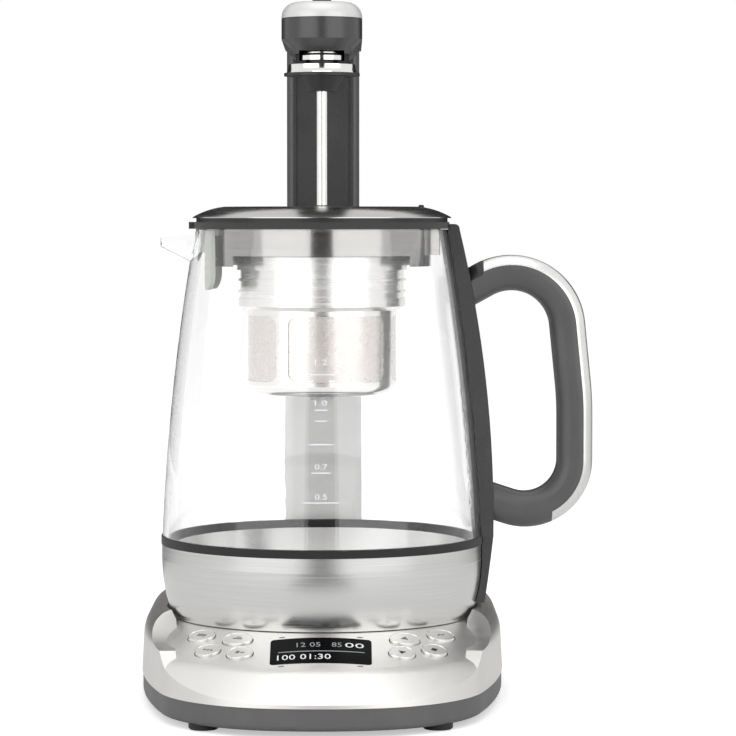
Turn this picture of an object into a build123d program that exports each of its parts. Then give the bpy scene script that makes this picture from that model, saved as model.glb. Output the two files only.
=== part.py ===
from build123d import *
from math import acos, atan, ceil, cos, degrees, floor, pi, radians, sin, sqrt, tan
import os

# An automatic tea maker. A glass jug stands on a heated base, and a motor in the tower
# behind it lowers a tea basket into the water and lifts it out again.
# The origin is on the table under the jug's axis: +X points to the handle, -Y to the
# user, +Z up. All lengths are millimetres and all angles are degrees.

os.makedirs("parts", exist_ok=True)

# ---------------------------------------------------------------- fits and clearances
slide_gap = 0.3        # round anything that slides past a neighbour
shaft_gap = 0.05       # round a turning shaft
seat_gap = 0.3         # under anything that lifts off its seat
joint_gap = 0.1        # between fixed pieces that plug together
overcut = 1.0          # how far a cutting shape runs past the surface it cuts
reach = 200.0          # a length that is larger than any piece it cuts

# ---------------------------------------------------------------- base: outline and levels
base_half_width = 80.5
base_front = 115.0             # jug axis to the front edge
base_rear = 108.0              # jug axis to the rear edge
corner_radius = 60.0
side_radius = 370.0
rear_corner_radius = 40.0
front_turn = 10.0              # angle that the bowed front edge turns through
side_turn = 15.0               # angle that each bowed flank turns through

foot_height = 2.4              # what shows of a foot below the pan
foot_radius = 6.3
foot_recess = 0.6
foot_x = 48.5
foot_front_y = -90.0
foot_rear_y = 84.0
centre_foot_y = 0.0            # a fifth foot, under the connector that carries the jug

pan_height = 9.5
pan_wall = 2.0
pan_floor = 2.0
pan_edge_radius = 2.2
pan_inset = 0.4                # the pan stands in from the cover by this much
pan_lip_height = 4.0

cover_height = 29.1
cover_wall = 1.2
cover_draft = 3.0
shoulder_radius = 13.5
wing_slope_start = 20.0        # where the top begins to fall, in front of the jug axis
wing_slope_radius = 90.0
wing_slope_turn = 30.0

dish_radius = 68.5
dish_depth = 4.4

panel_inner_radius = 66.0      # the control panel is a cone round the jug axis
panel_outer_radius = 97.0
panel_drop = 12.0
panel_blend_radius = 25.0
panel_half_width = 63.0
panel_side_draft = 12.0
front_rim_height = 1.5

# ---------------------------------------------------------------- controls
window_width = 42.2
window_depth = 20.0            # in plan, front to back
window_centre_y = -80.0
window_corner = 1.5
window_thickness = 1.5
window_stand = 0.15
window_gap = 0.1

inner_row_radius = 74.5
inner_row_angles = (28.2, 43.0)
inner_button_length = 13.8
outer_row_radius = 85.0
outer_row_angles = (23.5, 34.0)
outer_button_length = 11.6
button_width = 9.2
button_stand = 0.9
button_flange = 1.0
button_flange_height = 0.9
button_stem_radius = 1.8
button_travel = 1.2
switch_clearance = 0.2

board_thickness = 1.6
board_stand = 6.0              # boards above the pan floor
board_edge = 6.0               # boards inside the base outline
control_board_inner = 62.0
control_board_outer = 98.0
control_board_half_angle = 48.0
mat_thickness = 1.0
dome_height = 2.2
dome_radius = 3.5

display_depth_below = 3.0
display_height = 4.0
display_leg = 3.0

power_post_rear = (38.0, 54.0)         # posts under the boards, one on each side
power_post_front = (38.0, -26.0)
control_post_outer = (44.0, -66.0)
control_post_inner = (16.0, -95.0)
board_post_radius = 3.0

power_board_width = 88.0
power_board_front = -36.0
power_board_rear = 64.0
transformer_height = 12.0
relay_height = 11.0
capacitor_height = 9.0
power_choke_height = 10.0
transformer = ((-26.0, 36.0), (24.0, 20.0), transformer_height)      # place, footprint, height
relay = ((18.0, 40.0), (16.0, 14.0), relay_height)
capacitor = ((-28.0, -18.0), (14.0, 18.0), capacitor_height)
power_choke = ((30.0, -12.0), (12.0, 10.0), power_choke_height)

# ---------------------------------------------------------------- cord gland
gland_x = -45.0
gland_rise = 10.5
gland_radius = 6.0
gland_bore = 3.3
gland_flange_radius = 8.0
gland_flange_height = 1.6
gland_inside = 3.0

# ---------------------------------------------------------------- cordless connector
plug_radius = 15.8
plug_height = 9.0
plug_flange_radius = 22.0
plug_flange_height = 2.0
plug_skirt = 16.0
plug_pin_radius = 2.2
plug_ring_radius = 10.0
plug_ring_width = 1.6
plug_gap = 0.6
socket_wall = 2.2

# ---------------------------------------------------------------- tower and lift column
column_width = 33.5
column_depth = 26.0
column_front = 74.0
column_corner = 3.0
column_wall = 1.8
column_back_slot = 22.0
column_groove_x = 12.1
column_groove_width = 0.8
column_groove_depth = 0.5
column_bottom = 101.6
column_top = 289.2
column_gap = 0.35

tower_wall = 1.4
tower_top = 209.6
tower_flange = 2.0
tower_flange_height = 2.0
collar_height = 3.0
collar_gap = 0.15
shoe_height = 4.0
shoe_spigot = 6.0
shoe_gap = 0.15
shoe_wall = 1.8

lift_travel = 44.0
gear_module = 1.0
pinion_teeth = 16
pressure_angle = 20.0
gear_backlash = 0.24
gear_dedendum = 1.25           # tooth root below the pitch line, in modules
rack_addendum_share = 0.85
rack_width = 7.0
rack_front_gap = 1.4
rack_spare = 7.0
rack_back = 2.5
pinion_width = 6.2
pinion_z = 131.6
shaft_radius = 2.0
shaft_length = 7.5

motor_radius = 9.5
motor_length = 12.4
motor_front_gap = 0.8
gearbox_length = 6.0
motor_can_radius = 8.2
bracket_thickness = 1.5
bracket_width = 20.0
bracket_top = 204.0
bracket_bottom = 112.0
bracket_post_radius = 3.0
bracket_post_inset = 4.0       # post centres from the bracket's ends
switch_width = 6.0
switch_depth = 8.0
switch_height = 10.0

# ---------------------------------------------------------------- arm
arm_half_width = 17.7
arm_rear_margin = 1.6
arm_rear_corner = 4.0
arm_band_height = 8.8
arm_taper_height = 6.4
arm_taper = 41.5
arm_wall = 2.0
arm_floor = 3.2                # under the coupling, in the arm's nose
arm_spigot = 12.0              # how far the arm plugs down into the column
arm_spigot_wall = 2.0
arm_pin_radius = 1.5
cap_height = 7.4
cap_round = 6.6
cap_wall = 1.2
cap_seam = 0.4
cap_seam_depth = 0.6
cap_lip_height = 1.0
coupler_radius = 11.3
coupler_flange = 1.3
coupler_flange_height = 2.5
coupler_shelf = 1.3
coupler_roof = 1.2
coupler_headroom = 0.6
coupler_gap = 0.35
coupler_fork = 3.0             # under the arm the socket's two sides reach this far in front of the rod
magnet_radius = 7.0
magnet_height = 3.0
release_radius = 4.1
release_stand = 2.2
release_travel = 1.8
release_stem_radius = 1.4
release_flange = 1.2
release_round = 1.5

# ---------------------------------------------------------------- jug
jug_wall = 2.6
shell_wall = 0.9
shell_height = 31.4
shell_foot_radius = 66.2
shell_mid_radius = 69.2
shell_mid_height = 11.0
shell_top_radius = 70.6
shell_straight = 6.3           # upright stretch under the shell's top
shell_floor_radius = 58.0
ring_height = 3.4
ring_radius = 70.9
ring_width = 4.3
glass_base_radius = 70.4
glass_mid_radius = 65.9
glass_mid_height = 60.9
glass_rim_radius = 55.6
glass_height = 134.4

spout_root = 50.0              # where the spout's form starts, out from the jug axis
spout_tip = 70.8
spout_droop = 3.5
spout_root_half_width = 15.0
spout_root_depth = 18.0
spout_tip_half_width = 3.6
spout_tip_depth = 4.0
spout_wall = 1.4

heater_wall = 1.0
heater_rise = 12.7             # top of the heater plate above the jug's seat
heater_floor_radius = 58.0
heater_shoulder_radius = 66.0
element_radius = 40.0
element_tube = 3.1
element_arc = 330.0
under_plate_thickness = 2.4
under_plate_overlap = 4.0
socket_roof_gap = 1.0

spine_width = 20.0
spine_gap = 0.3                # between the spine and the jug's wall
spine_top_rise = 2.4           # above the glass rim
spine_top_round = 2.2
spine_top_stand = 4.6          # the spine's back stands off the jug's wall by these
spine_mid_stand = 6.7
spine_low_stand = 4.8
spine_knee_stand = 4.2
spine_foot_stand = 2.1
spine_foot_gap = 1.3           # above the base cover

grip_thickness = 15.5
grip_width = 20.0
grip_round = 6.6
grip_high_root = (-8.4, 107.3)     # path points: out from the glass's foot and up from it
grip_high_corner = (33.7, 130.6)
grip_back = (40.8, 59.7)
grip_low_corner = (40.8, 3.0)
grip_low_root = (-6.4, 18.4)
grip_high_bend = 24.8
grip_back_bend = 150.0
grip_low_bend = 22.0
strip_depth = 4.3
strip_thickness = 1.4
strip_start = 0.4              # the strip's upper and lower ends, out from the glass's foot
strip_end = 30.6

handle_screw_radius = 2.0
handle_screw_head = 3.6
handle_screw_length = 11.0
handle_screw_sink = 0.8
handle_screw_high = 112.0      # above the glass's foot
handle_screw_low = 14.5

# ---------------------------------------------------------------- lid
lid_radius = 56.8
lid_flat_radius = 43.0
lid_height = 5.0
lid_brow_radius = 49.6         # a point on the crowned edge between the flat and the rim
lid_brow_drop = 1.4
lid_edge = 0.4
lid_wall = 0.8
gasket_height = 4.7            # gasket ring and the dark seam above it
gasket_ring_height = 3.0
gasket_radius = 56.0
gasket_tab_radius = 58.3
gasket_tab_width = 9.0
seam_radius = 55.2
skirt_radius = 48.0
skirt_wall = 0.8
skirt_drop = 16.4              # below the glass rim's seal
skirt_front_cut = 4.6
skirt_front_angle = 52.6
skirt_plate_drop = 2.2
bush_radius = 8.0
bush_stand = 0.6
rod_hole_gap = 0.5
guard_radius = 51.5
guard_wall = 1.5
guard_half_angle = 24.0
guard_drop = 26.6
guard_corner = 7.0
guard_shelf = 3.0
guard_hole_radius = 1.0
guard_hole_pitch = 4.0
guard_hole_columns = 7
guard_hole_rows = 3
guard_hole_rise = 9.5
lug_tip_radius = 55.2
lug_width = 10.0
lug_drop = 10.4
latch_radius = 52.0
latch_half_angle = 14.0
latch_drop = 11.5

# ---------------------------------------------------------------- infuser
rod_radius = 2.45
basket_radius = 33.2
basket_wall = 0.6
basket_height = 36.9
basket_tuck = 1.6              # how far the body reaches up into its flange
basket_corner = 4.5
basket_z = 133.9
window_strip = 5.7
window_count = 4
window_turn = 14.2             # the front window's middle, from the user's side towards the handle
window_low = 6.2
window_high = 34.7
window_round = 4.0
mesh_thickness = 0.3
flange_radius = 36.6
flange_height = 5.3
flange_lip_height = 3.5
neck_radius = 35.9
neck_height = 12.3
neck_wall = 1.6
neck_rib = 0.9
neck_rib_low = 2.5
neck_rib_high = 7.5
collar_radius = 37.4
collar_ring_height = 6.2
collar_chamfer = 0.4
nut_radius = 5.0
nut_height = 3.0

hub_low_radius = 6.2
hub_high_radius = 9.7
hub_z = 266.6
hub_height = 6.6
rim_radius = 16.6
rim_height = 1.3
spool_flange_low = 15.6
spool_flange_high = 14.7
spool_flange_crown = 0.6       # how far its rounded edge bulges past a straight cone
spool_flange_height = 3.7
spool_neck_radius = 6.5
spool_neck_height = 1.9
knob_radius = 9.5
knob_top_radius = 8.8
knob_height = 3.4
knob_edge = 2.0                # upright edge under the knob's rounded top
knob_crown = 0.5               # how far the rounded top bulges past a straight cone
knob_stem_radius = 4.0

# ---------------------------------------------------------------- screws
screw_radius = 1.5
screw_head_radius = 2.9
screw_head_height = 1.8
screw_bite = 2.0               # thread in the cover's boss, past the head's own height
boss_radius = 3.6
boss_bore_depth = 6.0
side_screw = (69.0, 4.0)
rear_screw = (62.0, 66.0)
front_screw_y = -103.0

# ---------------------------------------------------------------- worked out from these
pan_bottom = foot_height
cover_edge = pan_bottom + pan_height
cover_top = cover_edge + cover_height
dish_floor = cover_top - dish_depth
pan_inside = pan_bottom + pan_floor
board_z = pan_inside + board_stand
board_top = board_z + board_thickness
corner_turn = 90 - front_turn - side_turn
front_radius = (
    base_half_width
    - side_radius * (1 - cos(radians(side_turn)))
    - corner_radius * (cos(radians(side_turn)) - sin(radians(front_turn)))
) / sin(radians(front_turn))
panel_slope = panel_drop / (panel_outer_radius - panel_inner_radius)

jug_seat = dish_floor + seat_gap
shell_mid = jug_seat + shell_mid_height
shell_top = jug_seat + shell_height
shell_bend_top = shell_top - shell_straight
shell_floor_top = jug_seat + shell_wall
glass_base = shell_top + ring_height
glass_mid = glass_base + glass_mid_height
glass_rim = glass_base + glass_height
heater_top = jug_seat + heater_rise
heater_underside = heater_top - heater_wall
gasket_base = glass_rim + seat_gap
gasket_top = gasket_base + gasket_height
seam_base = gasket_base + gasket_ring_height
lid_top = gasket_top + lid_height

column_centre_y = column_front + column_depth / 2
column_rear = column_front + column_depth
pitch_radius = gear_module * pinion_teeth / 2
column_inner_x = column_width / 2 - column_wall
pinion_x = pitch_radius - column_inner_x + rack_back + gear_dedendum * gear_module
rack_y = column_front + column_wall + rack_front_gap
motor_y = rack_y + rack_width + motor_front_gap
bracket_y = motor_y + motor_length

band_bottom = column_top
arm_bottom = band_bottom - arm_taper_height
arm_split = band_bottom + arm_band_height
arm_pin_z = band_bottom - arm_spigot / 2
arm_top = arm_split + cap_height

rim_z = hub_z + hub_height
spool_z = rim_z + rim_height
spool_neck_z = spool_z + spool_flange_height
knob_z = spool_neck_z + spool_neck_height
knob_top = knob_z + knob_height
basket_top = basket_z + basket_height
neck_z = basket_top + flange_height
collar_z = neck_z + neck_height


def panel_height(radius):
    """Height of the control panel's cone at a distance from the jug axis."""
    return dish_floor - panel_slope * (radius - panel_inner_radius)


def finish(builder, name):
    """Label a finished piece and write it."""
    builder.part.label = name
    export_step(builder.part, f"parts/{name}.step")


# ================================================================ shared outlines
with BuildSketch() as base_plan:
    with BuildLine():
        front_arc = JernArc((0, -base_front), (1, 0), front_radius, front_turn)
        corner_arc = JernArc(front_arc @ 1, front_arc % 1, corner_radius, corner_turn)
        side_arc = JernArc(corner_arc @ 1, corner_arc % 1, side_radius, side_turn)
        flank = Line(side_arc @ 1, (base_half_width, base_rear - rear_corner_radius))
        rear_arc = JernArc(flank @ 1, (0, 1), rear_corner_radius, 90)
        Line(rear_arc @ 1, (0, base_rear))
        mirror(about=Plane.YZ)
    make_face()


def base_sketch(level, inset, wall=0):
    """The base outline at a level, drawn in by inset: whole, or a ring as thick as wall."""
    with BuildSketch() as hollow:
        add(base_plan.sketch)
        offset(amount=-inset - wall)
    with BuildSketch(Plane.XY.offset(level)) as outline:
        add(base_plan.sketch)
        offset(amount=-inset)
        if wall:
            add(hollow.sketch, mode=Mode.SUBTRACT)
    return outline.sketch


# ================================================================ base cover
def panel_cone(drop):
    """Everything above the panel's cone and the front slope, all the way round."""
    with BuildPart() as space:
        with BuildSketch(Plane.XZ) as section:
            with BuildLine():
                Polyline(
                    (panel_inner_radius, dish_floor - drop),
                    (panel_outer_radius, dish_floor - panel_drop - drop),
                    (base_front, cover_edge + front_rim_height - drop),
                    (reach, cover_edge + front_rim_height - drop),
                    (reach, reach),
                    (panel_inner_radius, reach),
                    close=True,
                )
            make_face()
            crest = (panel_outer_radius, dish_floor - panel_drop - drop)
            fillet(section.vertices().sort_by_distance(crest)[0], panel_blend_radius)
        revolve(axis=Axis.Z)
    return space.part


def panel_space(drop):
    """The space over the panel, between the two wings."""
    lean = tan(radians(panel_side_draft))
    foot = panel_half_width + drop - lean * (dish_floor - cover_edge)
    with BuildPart() as space:
        with BuildSketch(Plane.XZ):
            with BuildLine():
                Polyline((-foot, cover_edge), (foot, cover_edge),
                         (foot + lean * reach, cover_edge + reach),
                         (-foot - lean * reach, cover_edge + reach), close=True)
            make_face()
        extrude(amount=reach)
        add(panel_cone(drop), mode=Mode.INTERSECT)
    return space.part


def wing_space(drop):
    """The space over the falling tops of the two wings beside the panel."""
    turn = radians(wing_slope_turn)
    top = cover_top - drop
    bend_y = -wing_slope_start - wing_slope_radius * sin(turn)
    bend_z = top - wing_slope_radius * (1 - cos(turn))
    with BuildPart() as space:
        with BuildSketch(Plane.YZ.offset(-reach / 2)):
            with BuildLine():
                Line((-reach, reach), (-wing_slope_start, reach))
                Line((-wing_slope_start, reach), (-wing_slope_start, top))
                RadiusArc((-wing_slope_start, top), (bend_y, bend_z), wing_slope_radius)
                Line((bend_y, bend_z), (-reach, bend_z - (reach + bend_y) * tan(turn)))
                Line((-reach, bend_z - (reach + bend_y) * tan(turn)), (-reach, reach))
            make_face()
        extrude(amount=reach)
        add(panel_cone(drop), mode=Mode.INTERSECT)
    return space.part


def cover_form(inset):
    """The cover's outside, drawn in by inset all over."""
    with BuildPart() as form:
        add(base_sketch(cover_edge, inset))
        extrude(amount=cover_height - inset, taper=cover_draft)
        fillet(form.faces().sort_by(Axis.Z)[-1].edges(), shoulder_radius - inset)
        add(wing_space(inset), mode=Mode.SUBTRACT)
        add(panel_space(inset), mode=Mode.SUBTRACT)
        with BuildSketch(Plane.XY.offset(dish_floor - inset)):
            Circle(dish_radius + inset)
        extrude(amount=reach, mode=Mode.SUBTRACT)
    return form.part


def button_places(gap=0):
    """Each button's name, place, turn and half axes, grown all round by a gap."""
    places = []
    rows = ((inner_row_radius, inner_row_angles, inner_button_length, "inner"),
            (outer_row_radius, outer_row_angles, outer_button_length, "outer"))
    for radius, angles, length, row in rows:
        for side, side_name in ((-1, "left"), (1, "right")):
            for angle, rank in zip(angles, ("near", "far")):
                swing = radians(side * angle)
                spot = (radius * sin(swing), -radius * cos(swing))
                name = f"button_{side_name}_{row}_{rank}"
                places.append((name, spot, side * angle, length / 2 + gap, button_width / 2 + gap))
    return places


board_spots = [(side * x, y)
               for x, y in (power_post_rear, power_post_front, control_post_outer, control_post_inner)
               for side in (-1, 1)]
corner_feet = [(side * foot_x, y) for y in (foot_front_y, foot_rear_y) for side in (-1, 1)]
foot_spots = [*corner_feet, (0, centre_foot_y)]
screw_spots = [(side * x, y) for x, y in (side_screw, rear_screw) for side in (-1, 1)]
screw_spots.append((0, front_screw_y))
boss_bottom = pan_inside + pan_height
gland_z = cover_edge + gland_rise

cover_outside = cover_form(0)
cover_inside = cover_form(cover_wall)


def tower_sketch(level, grow):
    """The lift column's outline at a level, grown all round."""
    with BuildSketch(Plane.XY.offset(level)) as outline:
        with Locations((0, column_centre_y)):
            RectangleRounded(column_width + 2 * grow, column_depth + 2 * grow, column_corner + grow)
    return outline.sketch


with BuildPart() as cover_bosses:
    with Locations(*[(x, y, boss_bottom) for x, y in screw_spots]):
        Cylinder(boss_radius, reach, align=(Align.CENTER, Align.CENTER, Align.MIN))
    add(cover_outside, mode=Mode.INTERSECT)

with BuildPart() as base_cover:
    add(cover_outside)
    add(cover_inside, mode=Mode.SUBTRACT)
    add(cover_bosses.part)
    with BuildSketch(Plane.XY.offset(boss_bottom)):
        with Locations(*screw_spots):
            Circle(screw_radius + joint_gap)
    extrude(amount=boss_bore_depth, mode=Mode.SUBTRACT)
    with BuildSketch(Plane.XY.offset(dish_floor - plug_flange_height)):
        Circle(plug_radius + slide_gap)
    extrude(amount=reach, mode=Mode.SUBTRACT)
    for label, spot, turn, half_length, half_width in button_places(slide_gap):
        with BuildSketch(Plane.XY.offset(board_top)):
            with Locations(Location((spot[0], spot[1], 0), (0, 0, turn))):
                Ellipse(half_length, half_width)
        extrude(amount=reach, mode=Mode.SUBTRACT)
    with BuildSketch(Plane.XY.offset(board_top)):
        with Locations((0, window_centre_y)):
            RectangleRounded(window_width + 2 * window_gap, window_depth + 2 * window_gap,
                             window_corner + window_gap)
    extrude(amount=reach, mode=Mode.SUBTRACT)
    add(tower_sketch(cover_edge, column_gap + tower_wall + slide_gap))
    extrude(amount=reach, mode=Mode.SUBTRACT)
    with BuildSketch(Plane.XZ.offset(-base_rear - overcut)):
        with Locations((gland_x, gland_z)):
            Circle(gland_radius + joint_gap)
    extrude(amount=4 * overcut + cover_wall + gland_inside, mode=Mode.SUBTRACT)

finish(base_cover, "base_cover")

# ================================================================ pan and feet
with BuildPart() as pan_lip:
    add(base_sketch(cover_edge - joint_gap, cover_wall + slide_gap, pan_wall))
    extrude(amount=pan_lip_height)
    add(panel_cone(cover_wall + slide_gap), mode=Mode.SUBTRACT)

with BuildPart() as base_pan:
    add(base_sketch(pan_bottom, pan_inset))
    extrude(amount=pan_height - joint_gap)
    fillet(base_pan.faces().sort_by(Axis.Z)[0].edges(), pan_edge_radius)
    add(base_sketch(pan_inside, cover_wall + slide_gap + pan_wall))
    extrude(amount=pan_height, mode=Mode.SUBTRACT)
    add(pan_lip.part)
    with Locations(*[(x, y, pan_inside) for x, y in screw_spots]):
        Cylinder(boss_radius, pan_height - slide_gap, align=(Align.CENTER, Align.CENTER, Align.MIN))
    with Locations(*[(x, y, pan_inside) for x, y in board_spots]):
        Cylinder(board_post_radius, board_stand, align=(Align.CENTER, Align.CENTER, Align.MIN))
    with BuildSketch(Plane.XY.offset(pan_bottom)):
        with Locations(*screw_spots):
            Circle(screw_radius + joint_gap)
    extrude(amount=reach, mode=Mode.SUBTRACT)
    with BuildSketch(Plane.XY.offset(pan_bottom)):
        with Locations(*screw_spots):
            Circle(screw_head_radius + joint_gap)
    extrude(amount=screw_head_height + joint_gap, mode=Mode.SUBTRACT)
    with BuildSketch(Plane.XY.offset(pan_bottom)):
        with Locations(*foot_spots):
            Circle(foot_radius)
    extrude(amount=foot_recess, mode=Mode.SUBTRACT)

finish(base_pan, "base_pan")

with BuildPart() as base_feet:
    for x, y in foot_spots:
        with BuildSketch():
            with Locations((x, y)):
                Circle(foot_radius)
        extrude(amount=foot_height + foot_recess)
    chamfer(base_feet.edges().group_by(Axis.Z)[0], foot_recess)

finish(base_feet, "base_feet")


def screws(spots, direction, length, head_radius=screw_head_radius, head_height=screw_head_height,
           radius=screw_radius):
    """Pan-head screws that start at each spot and run along a direction."""
    with BuildPart() as group:
        for spot in spots:
            seat = Plane(origin=spot, z_dir=direction)
            with BuildSketch(seat):
                Circle(head_radius)
            extrude(amount=head_height)
            with BuildSketch(seat):
                Circle(radius)
            extrude(amount=head_height + length)
            with BuildSketch(seat):
                Rectangle(head_radius, head_height / 4)
                Rectangle(head_height / 4, head_radius)
            extrude(amount=head_height / 2, mode=Mode.SUBTRACT)
    return group


base_screws = screws([(x, y, pan_bottom) for x, y in screw_spots], (0, 0, 1),
                     boss_bottom - pan_bottom + screw_bite)
finish(base_screws, "base_screws")

# ================================================================ controls on the panel
with BuildPart() as window_form:
    with BuildSketch(Plane.XZ):
        with BuildLine():
            Polyline((panel_inner_radius, dish_floor + window_stand),
                     (panel_outer_radius, dish_floor - panel_drop + window_stand),
                     (panel_outer_radius, dish_floor - panel_drop + window_stand - window_thickness),
                     (panel_inner_radius, dish_floor + window_stand - window_thickness), close=True)
        make_face()
    revolve(axis=Axis.Z)

with BuildPart() as display_window:
    with BuildSketch(Plane.XY.offset(board_top)):
        with Locations((0, window_centre_y)):
            RectangleRounded(window_width, window_depth, window_corner)
    extrude(amount=reach)
    add(window_form.part, mode=Mode.INTERSECT)

finish(display_window, "display_window")

display_tilt = degrees(atan(panel_slope))
display_plane = Plane(
    origin=(0, window_centre_y, panel_height(-window_centre_y) - display_depth_below),
    x_dir=(1, 0, 0),
    z_dir=(0, -sin(radians(display_tilt)), cos(radians(display_tilt))),
)
with BuildPart() as display_module:
    with BuildSketch(display_plane):
        Rectangle(window_width - 2 * display_leg, window_depth - display_leg)
    extrude(amount=-display_height)
    with BuildSketch(Plane.XY.offset(board_top)):
        with Locations((0, window_centre_y)):
            with GridLocations(window_width - 4 * display_leg, window_depth / 2, 2, 2):
                Rectangle(display_leg, display_leg)
    extrude(until=Until.NEXT)

finish(display_module, "display_module")

button_list = button_places()
dome_spots = [(spot[0], spot[1]) for label, spot, turn, half_length, half_width in button_list]
dome_top = board_top + mat_thickness + dome_height
stem_bottom = dome_top + button_travel + switch_clearance

with BuildPart() as button_crown:
    with BuildSketch(Plane.XZ):
        with BuildLine():
            Polyline((0, panel_height(0) + button_stand), (reach, panel_height(reach) + button_stand),
                     (reach, panel_height(reach) + reach), (0, panel_height(0) + reach), close=True)
        make_face()
    revolve(axis=Axis.Z)

for label, spot, turn, half_length, half_width in button_list:
    cone_radius = sqrt(spot[0] ** 2 + spot[1] ** 2)
    face = panel_height(cone_radius)
    underside = face - cover_wall - panel_slope * (half_width + button_flange)
    flange_top = underside - slide_gap
    place = Location((spot[0], spot[1], 0), (0, 0, turn))
    with BuildPart() as button:
        with BuildSketch(Plane.XY.offset(flange_top - button_flange_height)):
            with Locations(place):
                Ellipse(half_length, half_width)
        extrude(amount=reach)
        add(button_crown.part, mode=Mode.SUBTRACT)
        with BuildSketch(Plane.XY.offset(flange_top - button_flange_height)):
            with Locations(place):
                Ellipse(half_length + button_flange, half_width + button_flange)
        extrude(amount=button_flange_height)
        with BuildSketch(Plane.XY.offset(stem_bottom)):
            with Locations(place):
                Circle(button_stem_radius)
        extrude(amount=flange_top - stem_bottom)
    finish(button, label)


def arc_sector(level, inner, outer, half_angle, edge):
    """Part of a ring in front of the jug axis, kept inside the base outline."""
    with BuildSketch() as limit:
        add(base_plan.sketch)
        offset(amount=-edge)
    with BuildSketch(Plane.XY.offset(level)) as sector:
        Circle(outer)
        Circle(inner, mode=Mode.SUBTRACT)
        far = 2 * outer
        with BuildLine():
            Polyline((0, 0), (-far * sin(radians(half_angle)), -far * cos(radians(half_angle))),
                     (far * sin(radians(half_angle)), -far * cos(radians(half_angle))), close=True)
        make_face(mode=Mode.INTERSECT)
        add(limit.sketch, mode=Mode.INTERSECT)
    return sector.sketch


with BuildPart() as control_board:
    add(arc_sector(board_z, control_board_inner, control_board_outer, control_board_half_angle, board_edge))
    extrude(amount=board_thickness)

finish(control_board, "control_board")

with BuildPart() as keypad_mat:
    with BuildSketch(Plane.XY.offset(board_top)):
        for x, y in dome_spots:
            with Locations((x, y)):
                Circle(dome_radius + mat_thickness)
    extrude(amount=mat_thickness)
    for x, y in dome_spots:
        with Locations((x, y, board_top + mat_thickness)):
            Cone(dome_radius, dome_radius / 2, dome_height, align=(Align.CENTER, Align.CENTER, Align.MIN))

finish(keypad_mat, "keypad_mat")

with BuildPart() as power_board:
    with BuildSketch(Plane.XY.offset(board_z)):
        with Locations((0, (power_board_front + power_board_rear) / 2)):
            Rectangle(power_board_width, power_board_rear - power_board_front)
    extrude(amount=board_thickness)
    for place, footprint, height in (transformer, relay, capacitor, power_choke):
        with BuildSketch(Plane.XY.offset(board_top)):
            with Locations(place):
                Rectangle(*footprint)
        extrude(amount=height)

finish(power_board, "power_board")

# ================================================================ cordless connector
plug_base = dish_floor - cover_wall - plug_flange_height
plug_top = dish_floor + plug_height
with BuildPart() as base_connector:
    with BuildSketch(Plane.XZ):
        with BuildLine():
            Polyline((plug_pin_radius + plug_gap, plug_base), (plug_flange_radius, plug_base),
                     (plug_flange_radius, plug_base + plug_flange_height),
                     (plug_radius, plug_base + plug_flange_height), (plug_radius, plug_top),
                     (plug_ring_radius + plug_ring_width, plug_top),
                     (plug_ring_radius + plug_ring_width, dish_floor),
                     (plug_ring_radius, dish_floor), (plug_ring_radius, plug_top),
                     (plug_pin_radius + plug_gap, plug_top), close=True)
        make_face()
    revolve(axis=Axis.Z)
    with BuildSketch(Plane.XY.offset(board_top)):
        Circle(plug_skirt)
        Circle(plug_skirt - pan_wall, mode=Mode.SUBTRACT)
    extrude(amount=plug_base - board_top)

finish(base_connector, "base_connector")

with BuildPart() as cord_gland:
    gland_plane = Plane.XZ.offset(-base_rear)
    with BuildSketch(gland_plane):
        with Locations((gland_x, gland_z)):
            Circle(gland_radius)
    extrude(amount=cover_wall + gland_inside)
    with BuildSketch(gland_plane):
        with Locations((gland_x, gland_z)):
            Circle(gland_flange_radius)
    extrude(amount=-gland_flange_height)
    with BuildSketch(Plane.XZ.offset(-base_rear - reach)):
        with Locations((gland_x, gland_z)):
            Circle(gland_bore)
    extrude(amount=2 * reach, mode=Mode.SUBTRACT)

finish(cord_gland, "cord_gland")

# ================================================================ tower
tower_bottom = pan_inside


def tower_shell(keep):
    """One half of the tower's housing, split across the column's middle."""
    with BuildPart() as shell:
        add(tower_sketch(tower_bottom, column_gap + tower_wall))
        extrude(amount=tower_top - tower_bottom)
        add(tower_sketch(tower_bottom, column_gap + tower_wall + tower_flange))
        extrude(amount=tower_flange_height)
        add(tower_sketch(tower_bottom, column_gap))
        extrude(amount=tower_top - tower_bottom, mode=Mode.SUBTRACT)
        split(bisect_by=Plane.XZ.offset(-column_centre_y), keep=keep)
    return shell


tower_front_shell = tower_shell(Keep.TOP)
tower_rear_shell = tower_shell(Keep.BOTTOM)
finish(tower_front_shell, "tower_front_shell")
finish(tower_rear_shell, "tower_rear_shell")

with BuildPart() as tower_collar:
    add(tower_sketch(tower_top, column_gap + tower_wall))
    extrude(amount=collar_height)
    chamfer(tower_collar.faces().sort_by(Axis.Z)[-1].edges(), collar_height / 4)
    add(tower_sketch(tower_top, collar_gap))
    extrude(amount=collar_height, mode=Mode.SUBTRACT)

finish(tower_collar, "tower_collar")

# ================================================================ lift column, rack and pinion
with BuildPart() as lift_column:
    add(tower_sketch(column_bottom, 0))
    extrude(amount=column_top - column_bottom)
    add(tower_sketch(column_bottom, -column_wall))
    extrude(amount=column_top - column_bottom, mode=Mode.SUBTRACT)
    with BuildSketch(Plane.XY.offset(column_bottom)):
        with Locations((0, column_rear)):
            Rectangle(column_back_slot, 4 * column_wall)
        with Locations((-column_groove_x, column_front), (column_groove_x, column_front)):
            Rectangle(column_groove_width, 2 * column_groove_depth)
    extrude(amount=column_top - column_bottom, mode=Mode.SUBTRACT)
    with BuildSketch(Plane.YZ.offset(-reach / 2)):
        with Locations((column_centre_y, arm_pin_z)):
            Circle(arm_pin_radius + shaft_gap)
    extrude(amount=reach, mode=Mode.SUBTRACT)

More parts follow.
